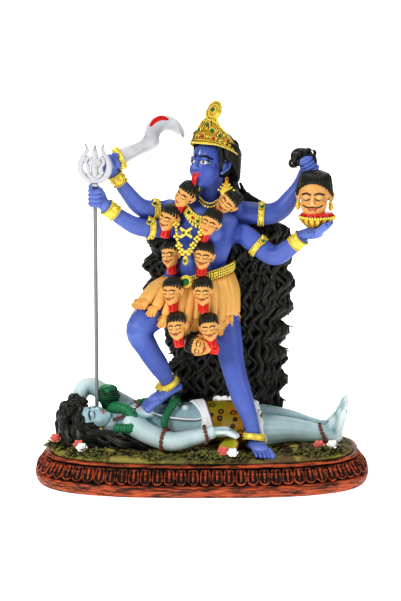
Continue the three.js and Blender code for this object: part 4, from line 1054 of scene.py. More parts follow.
def hair_place(turn, height, grown):
    """A place on the fall of hair: turn 0 is its right edge, a quarter turn its back."""
    rows = HAIR_FALL[::-1]
    middle, wide, behind, deep = (np.interp(height, rows[:, 0], rows[:, k]) for k in range(1, 5))
    wide += math.sin(height * 0.85 + (0 if math.cos(turn) > 0 else 2)) * min(1.1, wide * 0.06)
    return her(middle + math.cos(turn) * wide * grown, behind + math.sin(turn) * deep * grown, height)


def make_lock(chance, turn, start, end, thick, grown):
    """One curly lock that waves sideways and in and out as it falls."""
    steps = np.linspace(0, 1, 26)
    phase = 1.4 * math.sin(turn * 2) + 0.6 * math.sin(turn * 5 + 1) + chance.uniform(-1.05, 1.05)
    swing, period = chance.uniform(0.5, 1.5), 6.6 + 0.5 * math.sin(turn * 2) + chance.uniform(-0.45, 0.45)
    points = []
    for z in start + (end - start) * steps:
        rows = HAIR_FALL[::-1]
        wide, deep = (np.interp(z, rows[:, 0], rows[:, k]) for k in (2, 4))
        wave = phase + z * 2 * math.pi / period
        metric = math.hypot(math.sin(turn) * wide, math.cos(turn) * deep)
        calm = np.interp(z, [60, 70], [1, 0.15])
        away = 0.7 * calm * math.cos(wave + 0.8) * (0.5 + abs(math.cos(turn)))
        points.append(hair_place(turn + calm * swing * math.sin(wave) / metric, z,
                                 grown + away / max(wide, deep)))
    if abs(math.cos(turn)) > 0.9:
        flick = math.copysign(chance.uniform(0.8, 2.0), math.cos(turn)) * HER_UNIT
        points[-1] += Vector((flick, 0, 0.8 * HER_UNIT))
        points[-2] += Vector((flick * 0.6, 0, 0.2 * HER_UNIT))
    radii = thick * HER_UNIT * np.interp(steps, [0, 0.15, 0.7, 1], [0.5, 1, 0.85, 0.2])
    return limb(points, radii, sides=9, rings=28, flat=0.75, blunt=0.5,
                side=(math.cos(turn), math.sin(turn), 0.01),
                relief=lambda t, share: 1 + 0.1 * np.cos(3 * t + 5 * share + phase))


def make_hair_fall():
    chance = np.random.default_rng(3)
    spine = [her(r[1], r[3], r[0]) for r in HAIR_FALL]
    locks = [limb(spine, [r[2] * 0.9 * HER_UNIT for r in HAIR_FALL], sides=48, rings=60, flat=0.25,
                  blunt=0.15)]
    for row, (top, count) in enumerate(LOCK_ROWS):
        for k in range(count):
            turn = 2 * math.pi * (k + 0.5 * (row % 2)) / count + chance.uniform(-0.05, 0.05)
            start = top + chance.uniform(-3, 3)
            end = max(0.6, start - chance.uniform(17, 25))
            locks.append(make_lock(chance, turn, start, end, chance.uniform(0.8, 1.3),
                                   0.93 + 0.012 * (row % 3)))
    return gather("kali_hair", locks)


# Gloss enamel is smooth and black, and a grey painted highlight runs along the ridge of each lock
hair_paint = painted_resin("glossy_black_hair_paint", "#0A0A09", "#010101", "#2A2A25", roughness=0.28,
                           brush_and_highlight=(0.6, 1.0), mottle=0.1)
kali_hair = make_hair_fall()
finish(kali_hair, hair_paint, "painted_resin_blue", relief=(5, 0.35 * MM))

# %% [markdown]
# The hair on her head is a close cap. Ribbed locks are combed back over each ear and down
# the back of her head, where they meet the fall of hair.

# %% Hair on her head
def head_hair():
    parts = [ball(on_head(0, -1.5, 1.4), scaled(HER_UNIT, 5.5, 6.0, 6.2), HER_HEAD, 28, 18),
             ball(on_head(0, -2.7, 2.9), scaled(HER_UNIT, 5.0, 4.5, 5.8), HER_HEAD, 28, 18)]
    for side in (-1, 1):
        for k in range(6):
            up = 5.8 - k * 0.62
            line = [on_head(side * (4.6 + 0.12 * k), 2.2 + 0.8 * side - 0.2 * k, up),
                    on_head(side * 5.5, 1.2, up - 0.6), on_head(side * (6.0 - 0.1 * k), -1.8,
                                                                up - 1.4 - 0.2 * k),
                    on_head(side * 4.7, -5.2, up - 3.4 - 0.5 * k),
                    on_head(side * 2.4, -7.4, up - 5.4 - 0.6 * k)]
            parts.append(limb(line, scaled(HER_UNIT, 0.35, 0.8, 0.95, 0.95, 0.6),
                              sides=10, rings=22, relief=lambda t, share: 1 + 0.1 * np.cos(4 * t)))
        lock = [on_head(side * 4.7, 2.4 + side, 4.6), on_head(side * 5.1, 2.0 + side, 2.0),
                on_head(side * 5.05, 1.8 + side, -0.2), on_head(side * 4.95, 1.8 + side, -1.8)]
        parts.append(limb(lock, scaled(HER_UNIT, 0.5, 0.7, 0.5, 0.15), sides=10, rings=20,
                          relief=lambda t, share: 1 + 0.1 * np.cos(4 * t)))
    for k in range(9):
        turn = -0.5 + k * 0.5
        line = [on_head(-2.8 + k * 0.7, -3.0, 8.1 - abs(k - 4) * 0.5), on_head(-2.9 + k * 0.7, -5.8, 5.0),
                on_head(-2.6 + k * 0.6, -6.6, -0.8), on_head(-2 + k * 0.6, -6.0, -5.4),
                on_head(-1 + k * 0.5, -5.2, -10)]
        parts.append(limb(line, scaled(HER_UNIT, 0.7, 1.2, 1.25, 1.1, 0.7),
                          sides=10, rings=24, relief=lambda t, share, a=turn: 1 + 0.1 * np.cos(4 * t + a)))
    return gather("head_hair", parts)


finish(head_hair(), hair_paint, "painted_resin_blue", relief=(5, 0.35 * MM))

# %% [markdown]
# The crown is a tall tiara that leans back as it rises. A thin curved wall carries rows of
# gold beads, leaf scrolls and set stones. Every ornament is placed by how far round the head
# it sits and how high up the wall, so the rows follow the tiara's edge.

# %% The crown
CROWN_REACH = 135
CROWN_HEIGHTS = [8.5, 8.0, 6.8, 5.4, 4.5, 3.5, 2.6, 1.9, 1.2]
CREST_SPREAD = 1.0


def crown_height(degrees):
    return np.interp(abs(degrees) / CROWN_REACH, np.linspace(0, 1, len(CROWN_HEIGHTS)), CROWN_HEIGHTS)


def on_crown(degrees, level, outwards=0.0):
    """A place on the tiara: degrees round from its front, level 0 at the base to 1 on top."""
    base = 5.1 - 3.7 * max(0, (abs(degrees) - 40) / (CROWN_REACH - 40)) ** 1.3
    height = float(crown_height(degrees))
    turned = math.radians(degrees)
    leaning = 0.36 + 0.27 * max(0, math.cos(turned)) ** 2
    radius = 6.6 - leaning * height * level + outwards
    spread = CREST_SPREAD * np.sign(degrees) * level * (height / CROWN_HEIGHTS[0]) ** 2
    return on_head(math.sin(turned) * radius + spread, math.cos(turned) * radius - 0.2,
                   base + height * level)


def crown_wall():
    deselect_all()
    bpy.ops.mesh.primitive_grid_add(x_subdivisions=72, y_subdivisions=16, size=2)
    wall = bpy.context.object
    grid = coordinates(wall)
    places = [on_crown(u * CROWN_REACH, (v + 1) / 2 * 0.97, -0.35) for u, v, _ in grid]
    set_coordinates(wall, np.array([tuple(place) for place in places]))
    apply_modifier(wall, "SOLIDIFY", thickness=0.7 * MM, offset=0)
    return wall


def crown_row(level, step, radius, lift):
    """Beads side by side along one level of the tiara."""
    line = [on_crown(d, level, lift) for d in np.linspace(-CROWN_REACH, CROWN_REACH, 46)]
    return bead_string(line, radius, step)


def crown_scrolls():
    """Small curled leaves that fill the wall between the bead rows."""
    parts = []
    for degrees in np.arange(-117, 118, 13):
        tall = float(crown_height(degrees))
        for level in np.arange(0.24, 0.9, 2.1 / tall):
            centre = on_crown(degrees, level, 0.15)
            out = (centre - on_crown(degrees, level, -1)).normalized()
            up = (on_crown(degrees, min(1, level + 0.05)) - on_crown(degrees, level - 0.05)).normalized()
            across = up.cross(out)
            for side in (-1, 1):
                curl = [centre + across * side * 0.95 * MM * math.sin(a) * (1 - a / 9)
                        + up * (1.35 - a * 0.42) * MM
                        + out * 0.2 * MM * math.sin(a) for a in np.linspace(0.2, 5.4, 6)]
                parts.append(limb(curl, scaled(MM, 0.25, 0.42, 0.42, 0.36, 0.3, 0.32), sides=6, rings=14))
            parts.append(ball(centre, scaled(MM, 0.42, 0.42, 0.42), segments=8, rings=5))
    return parts


GEMS = [(0, 0.62, 1.9, "green"), (0, 0.26, 1.7, "red"), (24, 0.5, 1.8, "green"), (-24, 0.5, 1.8, "green"),
        (34, 0.26, 1.4, "red"), (-34, 0.26, 1.4, "red"), (50, 0.5, 1.6, "green"), (-50, 0.5, 1.6, "green"),
        (72, 0.5, 1.4, "red"), (-72, 0.5, 1.4, "red"), (95, 0.5, 1.3, "green"), (-95, 0.5, 1.3, "green")]
stones = {"green": [], "red": []}


def set_stone(centre, out, size, colour):
    """A polished stone in a ring of gold beads."""
    out = out.normalized()
    axes = out.to_track_quat("Y", "Z").to_matrix()
    stones[colour].append(ball(centre + out * 0.25 * size * MM,
                               (size * 0.72 * MM, size * 0.5 * MM, size * 0.72 * MM), axes, 14, 9))
    ring = [centre + axes @ Vector((math.cos(a), 0, math.sin(a))) * size * MM
            for a in np.linspace(0, 2 * math.pi, 25)]
    seat = ball(centre - out * 0.1 * MM, (size * MM, 0.45 * size * MM, size * MM), axes, 14, 8)
    return [seat, bead_string(ring, 0.26 * MM, 1.7, rings=5)]


gold_work = [crown_wall(), crown_scrolls(),
             crown_row(0.02, 1.9, 0.62 * MM, 0.2), crown_row(0.13, 1.9, 0.42 * MM, 0.2),
             crown_row(0.97, 1.8, 0.62 * MM, 0.05)]
for degrees, level, size, colour in GEMS:
    gold_work.append(set_stone(on_crown(degrees, level, 0.2),
                               on_crown(degrees, level, 1) - on_crown(degrees, level, 0), size, colour))
for level in np.arange(0.24, 0.92, 0.11):
    gold_work.append(crown_row(level, 2.5, 0.46 * MM, -0.1))

# The crest is a leaf-shaped medal of beads round a green stone
CREST_AXES = HER_HEAD @ Matrix.Rotation(math.radians(-22), 3, "X")
crest = on_crown(0, 1.0) + CREST_AXES @ Vector((0, 0, 0.5)) * HER_UNIT
gold_work.append(ball(crest, Vector((2.45, 0.7, 2.8)) * HER_UNIT, CREST_AXES, 24, 16))
for across, tall, bead in ((2.5, 2.85, 0.75), (1.6, 1.9, 0.65)):
    loop = [crest + CREST_AXES @ Vector((math.cos(a) * across, -0.45, math.sin(a) * tall)) * HER_UNIT
            for a in np.linspace(0, 2 * math.pi, 33)]
    gold_work.append(bead_string(loop, bead * MM))
gold_work.append(set_stone(crest + CREST_AXES @ Vector((0, -0.65, 0.2)) * HER_UNIT,
                           CREST_AXES @ Vector((0, -1, 0)), 2.0, "green"))
print(len(gold_work), "groups of gold ornaments are on the crown")

# %% [markdown]
# Her jewellery is gold beads and bands: a bead choker, a broad collar, a long necklace with
# a teardrop, earrings, armlets, wristbands and anklets. Each bead string is one small ball
# copied along a smooth line, so the beads stay round and touch one another.

# %% Jewellery
BAND_THICKNESS, BAND_BEAD = 0.4 * MM, 0.5 * MM


def ring_round(centre, axis, radius, flat=1.0):
    """A closed line round a limb, flattened from front to back."""
    axis, side = Vector(axis).normalized(), Vector((0, 1, 0))
    side = (side - axis * side.dot(axis)).normalized()
    across = axis.cross(side)
    return [centre + (across * math.cos(a) + side * flat * math.sin(a)) * radius
            for a in np.linspace(0, 2 * math.pi, 17)]


def band(centre, axis, radius, width, flat=1.0):
    """A flat gold band between two rows of beads."""
    axis = Vector(axis).normalized()
    ends = [centre - axis * width / 2, centre + axis * width / 2]
    made = [limb(ends, [radius + BAND_THICKNESS, radius + BAND_THICKNESS], sides=32, rings=9, blunt=0.04,
                 flat=flat)]
    for end in ends:
        made.append(bead_string(ring_round(end, axis, radius + BAND_THICKNESS, flat), BAND_BEAD, rings=5))
    for stud in ring_round(centre, axis, radius + BAND_THICKNESS, flat)[:-1:2]:
        made.append(ball(stud, scaled(MM, 0.7, 0.7, 0.7), segments=8, rings=6))
    return made


def along_arm(name, at):
    rows = ARMS[name]
    line = [her(*row[:3]) for row in rows]
    share = at / (len(rows) - 1)
    here, ahead = smooth_line([tuple(p) for p in line], [share, share + 0.02])
    return Vector(here), Vector(ahead - here).normalized()


WORN = [("sword", 4, 1.95), ("trident", 4, 2.15), ("dish", 5.8, 2.15),
        ("sword", 1.4, 2.75), ("trident", 1.5, 2.75), ("topknot", 1.75, 3.1), ("dish", 2.4, 2.95)]
for arm, at, radius in WORN:
    centre, axis = along_arm(arm, at)
    gold_work.append(band(centre, axis, radius * HER_UNIT, (2.9 if at >= 4 else 1.4) * HER_UNIT))
    if at < 4:
        facing = Vector((-axis.z * 0.5, -0.75, abs(axis.x) * 0.7)).normalized()
        crest = centre + facing * radius * 1.12 * HER_UNIT
        gold_work.append(set_stone(crest, crest - centre, 1.7, "green"))
        for lift in (1.6, 2.7, 3.5):
            gold_work.append(ball(crest + mm(0, 0, lift), (1.15 * MM - lift * 0.2 * MM,) * 3, segments=9,
                                  rings=6))
for centre, axis, radius, flat in [(her(14.6, -9.9, 5.2), (-0.1, -0.3, -0.9), 2.9, 0.85),
                                   (her(-9.9, -0.3, 18.3), (-0.5, -0.25, 0.83), 3.2, 0.75)]:
    gold_work.append(band(centre, axis, radius * HER_UNIT, 1.5 * HER_UNIT, flat))

CHOKER = [her(-0.6, -3.2, 71.2), her(0.8, -5, 70.2), her(2.8, -5.4, 69.9), her(5.4, -3.6, 71.2)]
COLLAR = [her(-4.8, -4.6, 70.2), her(-2.6, -7.2, 67.6), her(0.4, -8.2, 66.4), her(4, -7.6, 68)]
NECKLACE = [her(-7.4, -5.6, 67.8), her(-6.6, -8.9, 60.6), her(-4.5, -9.2, 57.4), her(-2, -9.3, 60.6),
            her(0.6, -9, 65)]
gold_work.append(bead_string(CHOKER, 0.95 * MM))
gold_work.append(bead_string([p + mm(0, 0.6, 2.2) for p in CHOKER], 0.7 * MM))
gold_work.append(limb([p - mm(0, 0, 0.4) for p in COLLAR], [2.4 * MM] * 4, flat=0.35, side=HER_AHEAD))
for drop, size in ((2.4, 0.85), (0.3, 0.75), (-2.0, 0.85)):
    gold_work.append(bead_string([p + mm(0, -0.7, drop) for p in COLLAR], size * MM))
gold_work.append(bead_string([p - mm(0, 1.0, 4.2) for p in COLLAR[:3]], 1.0 * MM, 2.1, 1.4))
gold_work.append(bead_string(NECKLACE, 0.95 * MM))
for share in np.linspace(0.08, 0.92, 9):
    leaf_place = Vector(smooth_line([tuple(p) for p in NECKLACE], [share])[0])
    for dx, dz in ((-1.3, 0), (1.3, 0), (0, -1.5), (0, 1.2)):
        gold_work.append(ball(leaf_place + mm(dx, -0.6, dz), (0.95 * MM,) * 3, segments=8, rings=6))
for k in range(7):
    spot = Vector(smooth_line([tuple(p) for p in COLLAR], [k / 6])[0]) + mm(0, -2.0, -0.4)
    stones["green" if k % 2 else "red"].append(ball(spot, (0.95 * MM,) * 3, segments=10, rings=7))
clasp = her(-4.4, -9.3, 63.4)
for side in (-1, 1):
    for lift in (-1, 1):
        gold_work.append(limb([clasp, clasp + mm(side * 3, -0.2, lift * 2.6)], scaled(MM, 1.2, 0.8),
                              sides=8))
    gold_work.append(set_stone(clasp + mm(side * 1.5, -0.9, 0), Vector((-0.3, -1, 0)), 1.0, "green"))
pendant = her(-4.6, -9.4, 55.6)
gold_work.append(ball(pendant, scaled(MM, 1.7, 1.3, 2.9), HER_BODY))
gold_work.append(set_stone(pendant + mm(-0.3, -1.1, 0), Vector((-0.3, -1, 0)), 1.2, "green"))
for side in (-1, 1):
    stud = on_head(side * 5.7, 0.5, -4.3)
    gold_work.append(set_stone(stud, stud - on_head(0, 0, -4.3), 1.3, "red"))
    for away, bead in ((1.6, 0.55), (2.6, 0.6), (3.6, 0.75)):
        fan = [beside(stud, HER_BODY, math.sin(a) * away * HER_UNIT, 0.5 * HER_UNIT,
                      -math.cos(a) * away * HER_UNIT)
               for a in np.linspace(-0.65, 0.65, 7)]
        gold_work.append(bead_string(fan, bead * MM))
    plate = [beside(stud, HER_BODY, 0, 0.3 * HER_UNIT, -u * HER_UNIT) for u in (0.4, 3.4)]
    gold_work.append(limb(plate, scaled(MM, 0.8, 4.0), flat=0.25, side=HER_AHEAD, sides=16))

# %% [markdown]
# A skirt of severed forearms hangs from a beaded belt. One arm is made of a plain limb and
# a relaxed hand, then copied round the hips, each with a slightly different turn and reach.

# %% The skirt of arms
def severed_arm():
    """A forearm that hangs down from the origin, 30 mm long, knuckles towards the viewer."""
    forearm = limb([(0, 0, 0), (0, -0.6 * MM, -9 * MM), (0, 0, -21 * MM)], scaled(MM, 2.7, 3.5, 2.5),
                   sides=14, rings=14, blunt=0.3)
    down = Matrix(((1, 0, 0), (0, 0, -1), (0, 1, 0)))
    return gather("severed_arm", forearm, open_hand(Vector((0, 0, -20.5 * MM)), down, 0.58 * MM,
                                                    spread=0.06, curl=0.0, plump=1.25))


SKIRT_ARMS = 31
ARM_LENGTH = 30 * MM


def make_skirt():
    model = severed_arm()
    chance = np.random.default_rng(11)
    moves = []
    for k in range(SKIRT_ARMS):
        turn = 2 * math.pi * (k + 0.35) / SKIRT_ARMS
        c, front = math.cos(turn), -math.sin(turn)
        lifted = max(0, -c * 0.82 - front * 0.55) ** 3.5
        wide, deep = 13.4 + lifted * 4.2, 6.6 + lifted * 10
        top = her(-1.6 + c * 9.4, -0.4 + front * 6.4, 48.6 + c * 1.6 + lifted * 0.8)
        tip = her(-3.2 + c * wide, -2 + front * deep, 35.2 + lifted * lifted * 7.4 - chance.uniform(0, 1.8))
        fall = tip - top
        out = Vector((c / 14, front / 9, 0)).normalized()
        down = fall.normalized()
        out = (out - down * out.dot(down)).normalized()
        top = top + out * lifted * 1.2 * HER_UNIT
        across = out.cross(down)
        roll = Matrix.Rotation(chance.uniform(-0.35, 0.35), 4, "Z")
        frame = Matrix((across, -out, -down)).transposed().to_4x4()
        moves.append(Matrix.Translation(top) @ frame @ roll
                     @ Matrix.Diagonal((1.15, 1.15, fall.length / ARM_LENGTH, 1)))
    return copies(model, moves, "skirt_of_arms")


skirt = make_skirt()
# The darker orange in the hollows and between the arms is wash and painted shade, and the paler orange on
# their swellings is a painted highlight
flesh_resin = painted_resin("flesh_resin_with_orange_wash_and_shade", "#E0963E", "#A8560C", "#F0B868", mottle=0.05,
                            wash_and_shade=(0.46, 0.2), crevice=1.5 * MM)
finish(skirt, flesh_resin, "painted_resin_flesh", relief=(4, 0.5 * MM), thinned=0.75)

BELT = [her(-1.3 + math.cos(a) * 9.7, -0.4 - math.sin(a) * 7.6, 50.2 + math.cos(a) * 2.4)
        for a in np.linspace(0, 2 * math.pi, 25)]
gold_work.append(limb(BELT, [1.35 * MM] * 25, flat=1.8, side=(0, 0, 1), sides=10, rings=80))
for lift, size in ((2.2, 0.7), (0.75, 0.85), (-0.75, 0.85), (-2.2, 0.7)):
    row = [p + (p - her(-1.3, -0.4, 50)).normalized() * (1.6 - 0.06 * lift * lift) * MM + mm(0, 0, lift)
           for p in BELT]
    gold_work.append(bead_string(row, size * MM))
buckle = her(-4.4, -10.2, 49.8)
gold_work.append(set_stone(buckle, Vector((-0.3, -1, 0)), 3.1, "green"))
gold_work.append(bead_string([buckle + HER_BODY @ Vector((math.cos(a), 0, math.sin(a))) * 3.4 * MM
                              for a in np.linspace(0, 2 * math.pi, 25)], 0.6 * MM))

# %% [markdown]
# Gold here is a metallic paint: the bright yellow on the raised beads is a painted highlight,
# and the brown left between them is wash and painted shade. Each bead is a closed ball, so
# the wash and painted shade between two of them are placed by how close their surfaces stand.
# The stones are glossy, with a darker cloud in their colour as in cheap glass.

# %% Gold and stones
gold_piece = gather("gold_work", gold_work)
gold_paint = painted_resin("gold_paint_with_brown_wash_and_shade", "#D29C20", "#5A2C06", "#FFE86A", roughness=0.32,
                           metallic=0.3, mottle=0.1, wash_and_shade=(0.48, 0.25), brush_and_highlight=(0.57, 0.95),
                           crevice=1.2 * MM)
finish(gold_piece, gold_paint, "painted_resin_blue", relief=(4, 0.3 * MM))


# A clear lacquer over green or red paint gives each stone one small, sharp highlight
def glassy_stone(name, colour):
    made, tree, shader = new_material(name, 0.12, Coat_Weight=0.6, Coat_Roughness=0.05)
    cloudy = between(tree, spots(tree, 1.5 * MM), 0.35, 0.7)
    tree.links.new(mix(tree, cloudy, colour, "#06140A"), shader.inputs["Base Color"])
    return made


finish(gather("green_stones", stones["green"]), glassy_stone("green_glass_paint", "#0F7A34"),
       "painted_resin_blue", relief=(2, 0.3 * MM))
finish(gather("red_stones", stones["red"]), glassy_stone("red_glass_paint", "#D01C1C"),
       "painted_resin_blue", relief=(2, 0.3 * MM))

# %% [markdown]
# Ten severed heads hang in two strands from her shoulders and an eleventh lies across the
# bottom. Each is a copy of the model head with shut eyes, a black ribbed cap, a moustache on
# most of them and a red stump.

# %% The garland of heads
GARLAND = [
    (-4.6, -6.2, 73.4, 28, -35), (-9, -5.4, 66.8, 14, -38), (-8.6, -4.2, 56.4, -8, -30),
    (-8.2, -11, 47.1, -4, -25), (-6.9, -13.4, 37.7, -9, -15), (-0.9, -12, 32, -78, 0),
    (2.1, -12.4, 37.2, -8, -4), (0.3, -11, 47, -2, -8), (0.5, -8.6, 56.7, 7, -12),
    (2.3, -7.9, 65.9, 22, -14), (7.2, -5.7, 71.3, 46, -20)]
GARLAND_TALL = 7.3 * HER_UNIT


def ribbed_cap(centre, axes, height, ribs=15, grown=1.0, brow=0.29, fall=0.05, crown=0.535):
    """Hair combed back from the brow as a ribbed cap, with a fringe at its edge."""
    parts = [ball(centre + axes @ Vector((0, 0.1, 0.19)) * height,
                  Vector((0.35 * grown, 0.42, 0.345)) * height, axes, 24, 16)]
    for k in range(ribs):
        a = math.pi * (k / (ribs - 1) - 0.5) * 1.5
        x, y = math.sin(a) * grown, -math.cos(a)
        hem = brow - (brow + fall) * abs(math.sin(a / 1.5)) ** (3 - 12 * (fall - 0.05))
        wide = math.sqrt(1 - ((hem - 0.14) / 0.38) ** 2)
        line = [Vector((x * 0.345 * wide, y * 0.4 * wide + 0.055, hem)),
                Vector((x * 0.28, y * 0.32 + 0.075, 0.39)),
                Vector((x * 0.2, y * 0.23 + 0.1, 0.475 + (crown - 0.535) * 0.3)),
                Vector((x * 0.05, y * 0.06 + 0.16, crown))]
        parts.append(limb([centre + axes @ point * height for point in line],
                          scaled(height, 0.05, 0.056, 0.052, 0.03), sides=8, rings=14, blunt=0.9))
    return parts


garland_faces, garland_hair, garland_necks = [], [], []
garland_paint = [face_paint(small_head, "#E8AE66", "#C0503C", "#17130F", moustache=0.02, blush="#D98F30"),
                 face_paint(small_head, "#E8AE66", "#C0503C", "#17130F", blush="#D98F30")]
for k, (x, y, z, lean, turn) in enumerate(GARLAND):
    centre, axes, tall = her(x, y, z), turning(turn, 0, lean), GARLAND_TALL
    garland_faces.append(place_head("garland_face", small_head, centre, axes, tall,
                                    garland_paint[k in (0, 9)], width=1.05))
    garland_hair.append(ribbed_cap(centre, axes, tall))
    neck = [beside(centre, axes, 0, 0.04 * tall, -0.3 * tall),
            beside(centre, axes, 0, 0.08 * tall, -0.74 * tall)]
    garland_necks.append(limb(neck, scaled(tall, 0.2, 0.19), sides=24, rings=14, blunt=0.3,
                              relief=lambda t, share: 1 + 0.06 * np.cos(8 * t)))
flesh_face = painted_resin("painted_flesh_face", None, "#A4560E", "#FCE2AE", mottle=0.05, wash_and_shade=(0.47, 0.2))
finish(gather("garland_faces", garland_faces), flesh_face, "painted_resin_blue", relief=(2, 0.3 * MM))
finish(gather("garland_hair", garland_hair), hair_paint, "painted_resin_blue", relief=(4, 0.3 * MM),
       thinned=0.7)
finish(gather("garland_necks", garland_necks), blood_red, "painted_resin_blue", relief=(4, 0.3 * MM))

# %% [markdown]
# The trident is cast in metal: a thin leaning shaft, a socket, a leaf-shaped middle prong
# and two outer prongs in one bow, with a curl inside each. Its parts are limbs through the
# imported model's points.

# %% The trident
def trident_parts():
    socket = SHAFT_FIST + SHAFT_DIRECTION * 3.4 * HER_UNIT

    def at(side, up, forward=0.0):
        return socket + mm(side * 17, -forward, 0) + SHAFT_DIRECTION * up * 28 * MM

    parts = []
    for up, size in ((0.0, 2.3), (0.08, 1.8), (0.15, 2.4)):
        parts.append(ball(at(0, up), (size * MM, size * MM, size * 0.55 * MM)))
    parts.append(limb([at(0, 0.12), at(0, 0.3), at(0, 0.45), at(0, 0.55), at(0, 0.66), at(0.01, 0.76),
                       at(0.02, 0.86)],
                      scaled(MM, 2.0, 2.2, 2.2, 2.0, 1.9, 1.2, 0.35), rings=40, flat=0.75, sides=14))
    parts.append(ball(at(0, 0.5, 0.6), scaled(MM, 4.2, 1.6, 3.0)))
    parts.append(ball(at(0, 0.44, 1.7), scaled(MM, 1.7, 1.3, 1.7)))
    for side in (-1, 1):
        bow = [at(side * x, up) for x, up in ((0, 0.1), (0.24, 0.13), (0.44, 0.26), (0.49, 0.42),
                                              (0.4, 0.58), (0.29, 0.7), (0.25, 0.78), (0.33, 0.9))]
        parts.append(limb(bow, scaled(MM, 1.9, 2.0, 1.9, 1.8, 1.6, 1.3, 0.95, 0.3), rings=44, flat=0.8))
        curl = [at(side * x, up, 0.8) for x, up in ((0.04, 0.16), (0.2, 0.24), (0.22, 0.4), (0.3, 0.5),
                                                    (0.24, 0.6), (0.14, 0.56), (0.17, 0.49))]
        parts.append(limb(curl, scaled(MM, 1.3, 1.3, 1.1, 1.15, 1.05, 0.9, 0.95), rings=36, flat=0.8))
    return parts


# Silver paint is fine flakes in varnish that mirror nothing: the pale grey on its ridges is a painted
# sheen, and the dark grey in its hollows and close gaps is painted shade
silver = painted_resin("brushed_silver_paint", "#7C7E84", "#26282C", "#CCCCD0", roughness=0.4, mottle=0.6,
                       crevice=2 * MM)
dull_steel = painted_resin("dull_steel_rod", "#6E7476", "#3A3E40", "#A8ACAE", roughness=0.4, metallic=0.2,
                           mottle=0.4)
finish(gather("trident_head", trident_parts()), silver, "silver_painted_metal", "trident",
       relief=(6, 0.3 * MM))
shaft = limb([SHAFT_FOOT, SHAFT_FIST, SHAFT_FIST + SHAFT_DIRECTION * 3.6 * HER_UNIT], [1.15 * MM] * 3,
             rings=20)
finish(named("trident_shaft", shaft), dull_steel, "silver_painted_metal", relief=(2, 0.3 * MM))

# %% [markdown]
# The sword's blade is cut from one outline, filled, extruded and inset to a bevel. A thin
# raised line follows its lower edge and the broad end carries a red mark. A gold guard sits at the
# hilt, which the fist closes round.

# %% The sword
BLADE_OUTLINE = [(1, -4.2), (11, -3.4), (20, -3.6), (24.4, -2.2), (26.4, 1.6), (29.4, 3.4), (33, 2.4),
                 (37, -2.6), (38.6, -5.2), (40.6, -2.2), (40.6, 1.6), (39.6, 6), (36.6, 9.8), (33.6, 11.8),
                 (29.6, 12.8), (25.6, 12.3), (22.2, 10.4), (19.6, 7.4), (17.0, 5.0), (13, 4.1), (1, 4.2)]
GUARD_PLACE = RAISED_FIST + SWORD_DIRECTION * 3 * HER_UNIT
SWORD_AXES = Matrix((SWORD_DIRECTION, (0, 1, 0), (-SWORD_DIRECTION.z, 0, SWORD_DIRECTION.x))).transposed()


def on_blade(length, up, forward):
    return GUARD_PLACE + SWORD_AXES @ mm(length, -forward, up)


def make_blade():
    rows = np.array(BLADE_OUTLINE + BLADE_OUTLINE[:1], float)
    travelled = np.r_[0, np.cumsum(np.linalg.norm(np.diff(rows, axis=0), axis=1))]
    where = np.interp(np.linspace(0, travelled[-1], 160, endpoint=False), travelled,
                      np.linspace(0, 1, len(rows)))
    outline = smooth_line(rows, where)
    deselect_all()
    bpy.ops.mesh.primitive_circle_add(vertices=160, radius=1, fill_type="NGON")
    blade = bpy.context.object
    set_coordinates(blade, np.array([tuple(on_blade(x, z, -0.4)) for x, z in outline]))
    bpy.ops.object.mode_set(mode="EDIT")
    bpy.ops.mesh.select_all(action="SELECT")
    bpy.ops.mesh.extrude_region_move(TRANSFORM_OT_translate={"value": (0, -0.8 * MM, 0)})
    bpy.ops.mesh.inset(thickness=0.9 * MM, depth=0.7 * MM)
    bpy.ops.mesh.select_all(action="SELECT")
    bpy.ops.mesh.normals_make_consistent(inside=False)
    bpy.ops.object.mode_set(mode="OBJECT")
    return blade


blade = make_blade()
edge_line = [on_blade(x, z, 1.25) for x, z in ((2, -2.2), (11, -1.5), (20, -1.4), (23.6, 0.2), (26, 3.8),
                                               (29.4, 5.4))]
blade_parts = [blade, limb(edge_line, [0.35 * MM] * 6, sides=6, rings=40)]
blade_piece = gather("sword_blade", blade_parts)
bright_silver = painted_resin("engraved_silver_paint", "#CACACE", "#74767C", "#FFFFFF", roughness=0.35,
                              mottle=0.7, grain=1.3 * MM, bump=0.35 * MM)
finish(blade_piece, bright_silver, "silver_painted_blade", "sword", smooth=False, relief=(1, 0.5 * MM))
mark = [on_blade(x, z, 1.1) for x, z in ((24.5, 9.6), (28, 11.2), (32, 11.0), (35, 8.6))]
blade_blood = limb(mark, scaled(MM, 0.8, 1.5, 1.5, 0.6), sides=10, flat=0.25, side=(0, 1, 0))
finish(named("blade_blood", blade_blood), blood_red, "silver_painted_blade", relief=(2, 0.3 * MM))
hilt = [RAISED_FIST - SWORD_DIRECTION * 2.6 * HER_UNIT, RAISED_FIST + SWORD_DIRECTION * 3 * HER_UNIT]
guard = [limb(hilt, [2.0 * MM] * 2, sides=16, rings=20,
              relief=lambda t, share: 1 + 0.08 * np.cos(60 * share))]
guard += [limb([on_blade(-0.2, -5.4, 0), on_blade(0.2, 0, 0), on_blade(-0.2, 5.4, 0)],
               scaled(MM, 2.1, 2.5, 2.1), sides=14, rings=24)]
for up in (-3.6, 0, 3.6):
    guard.append(ball(on_blade(0, up, 2.1), (1.2 * MM,) * 3, segments=10, rings=7))
for away in (-1.9, 1.9):
    guard.append(bead_string([on_blade(away, up, 1.3) for up in (-6, 0, 6)], 0.6 * MM))
finish(gather("sword_guard", guard), gold_paint, "silver_painted_blade", relief=(4, 0.3 * MM))

# %% [markdown]
# The held head stands in a fluted gold dish of blood, gripped by its topknot. It is the
# fine model head again, under a wider ribbed cap. The topknot is five locks side by side
# through the fist, with loose curls laid round them by a seeded draw.

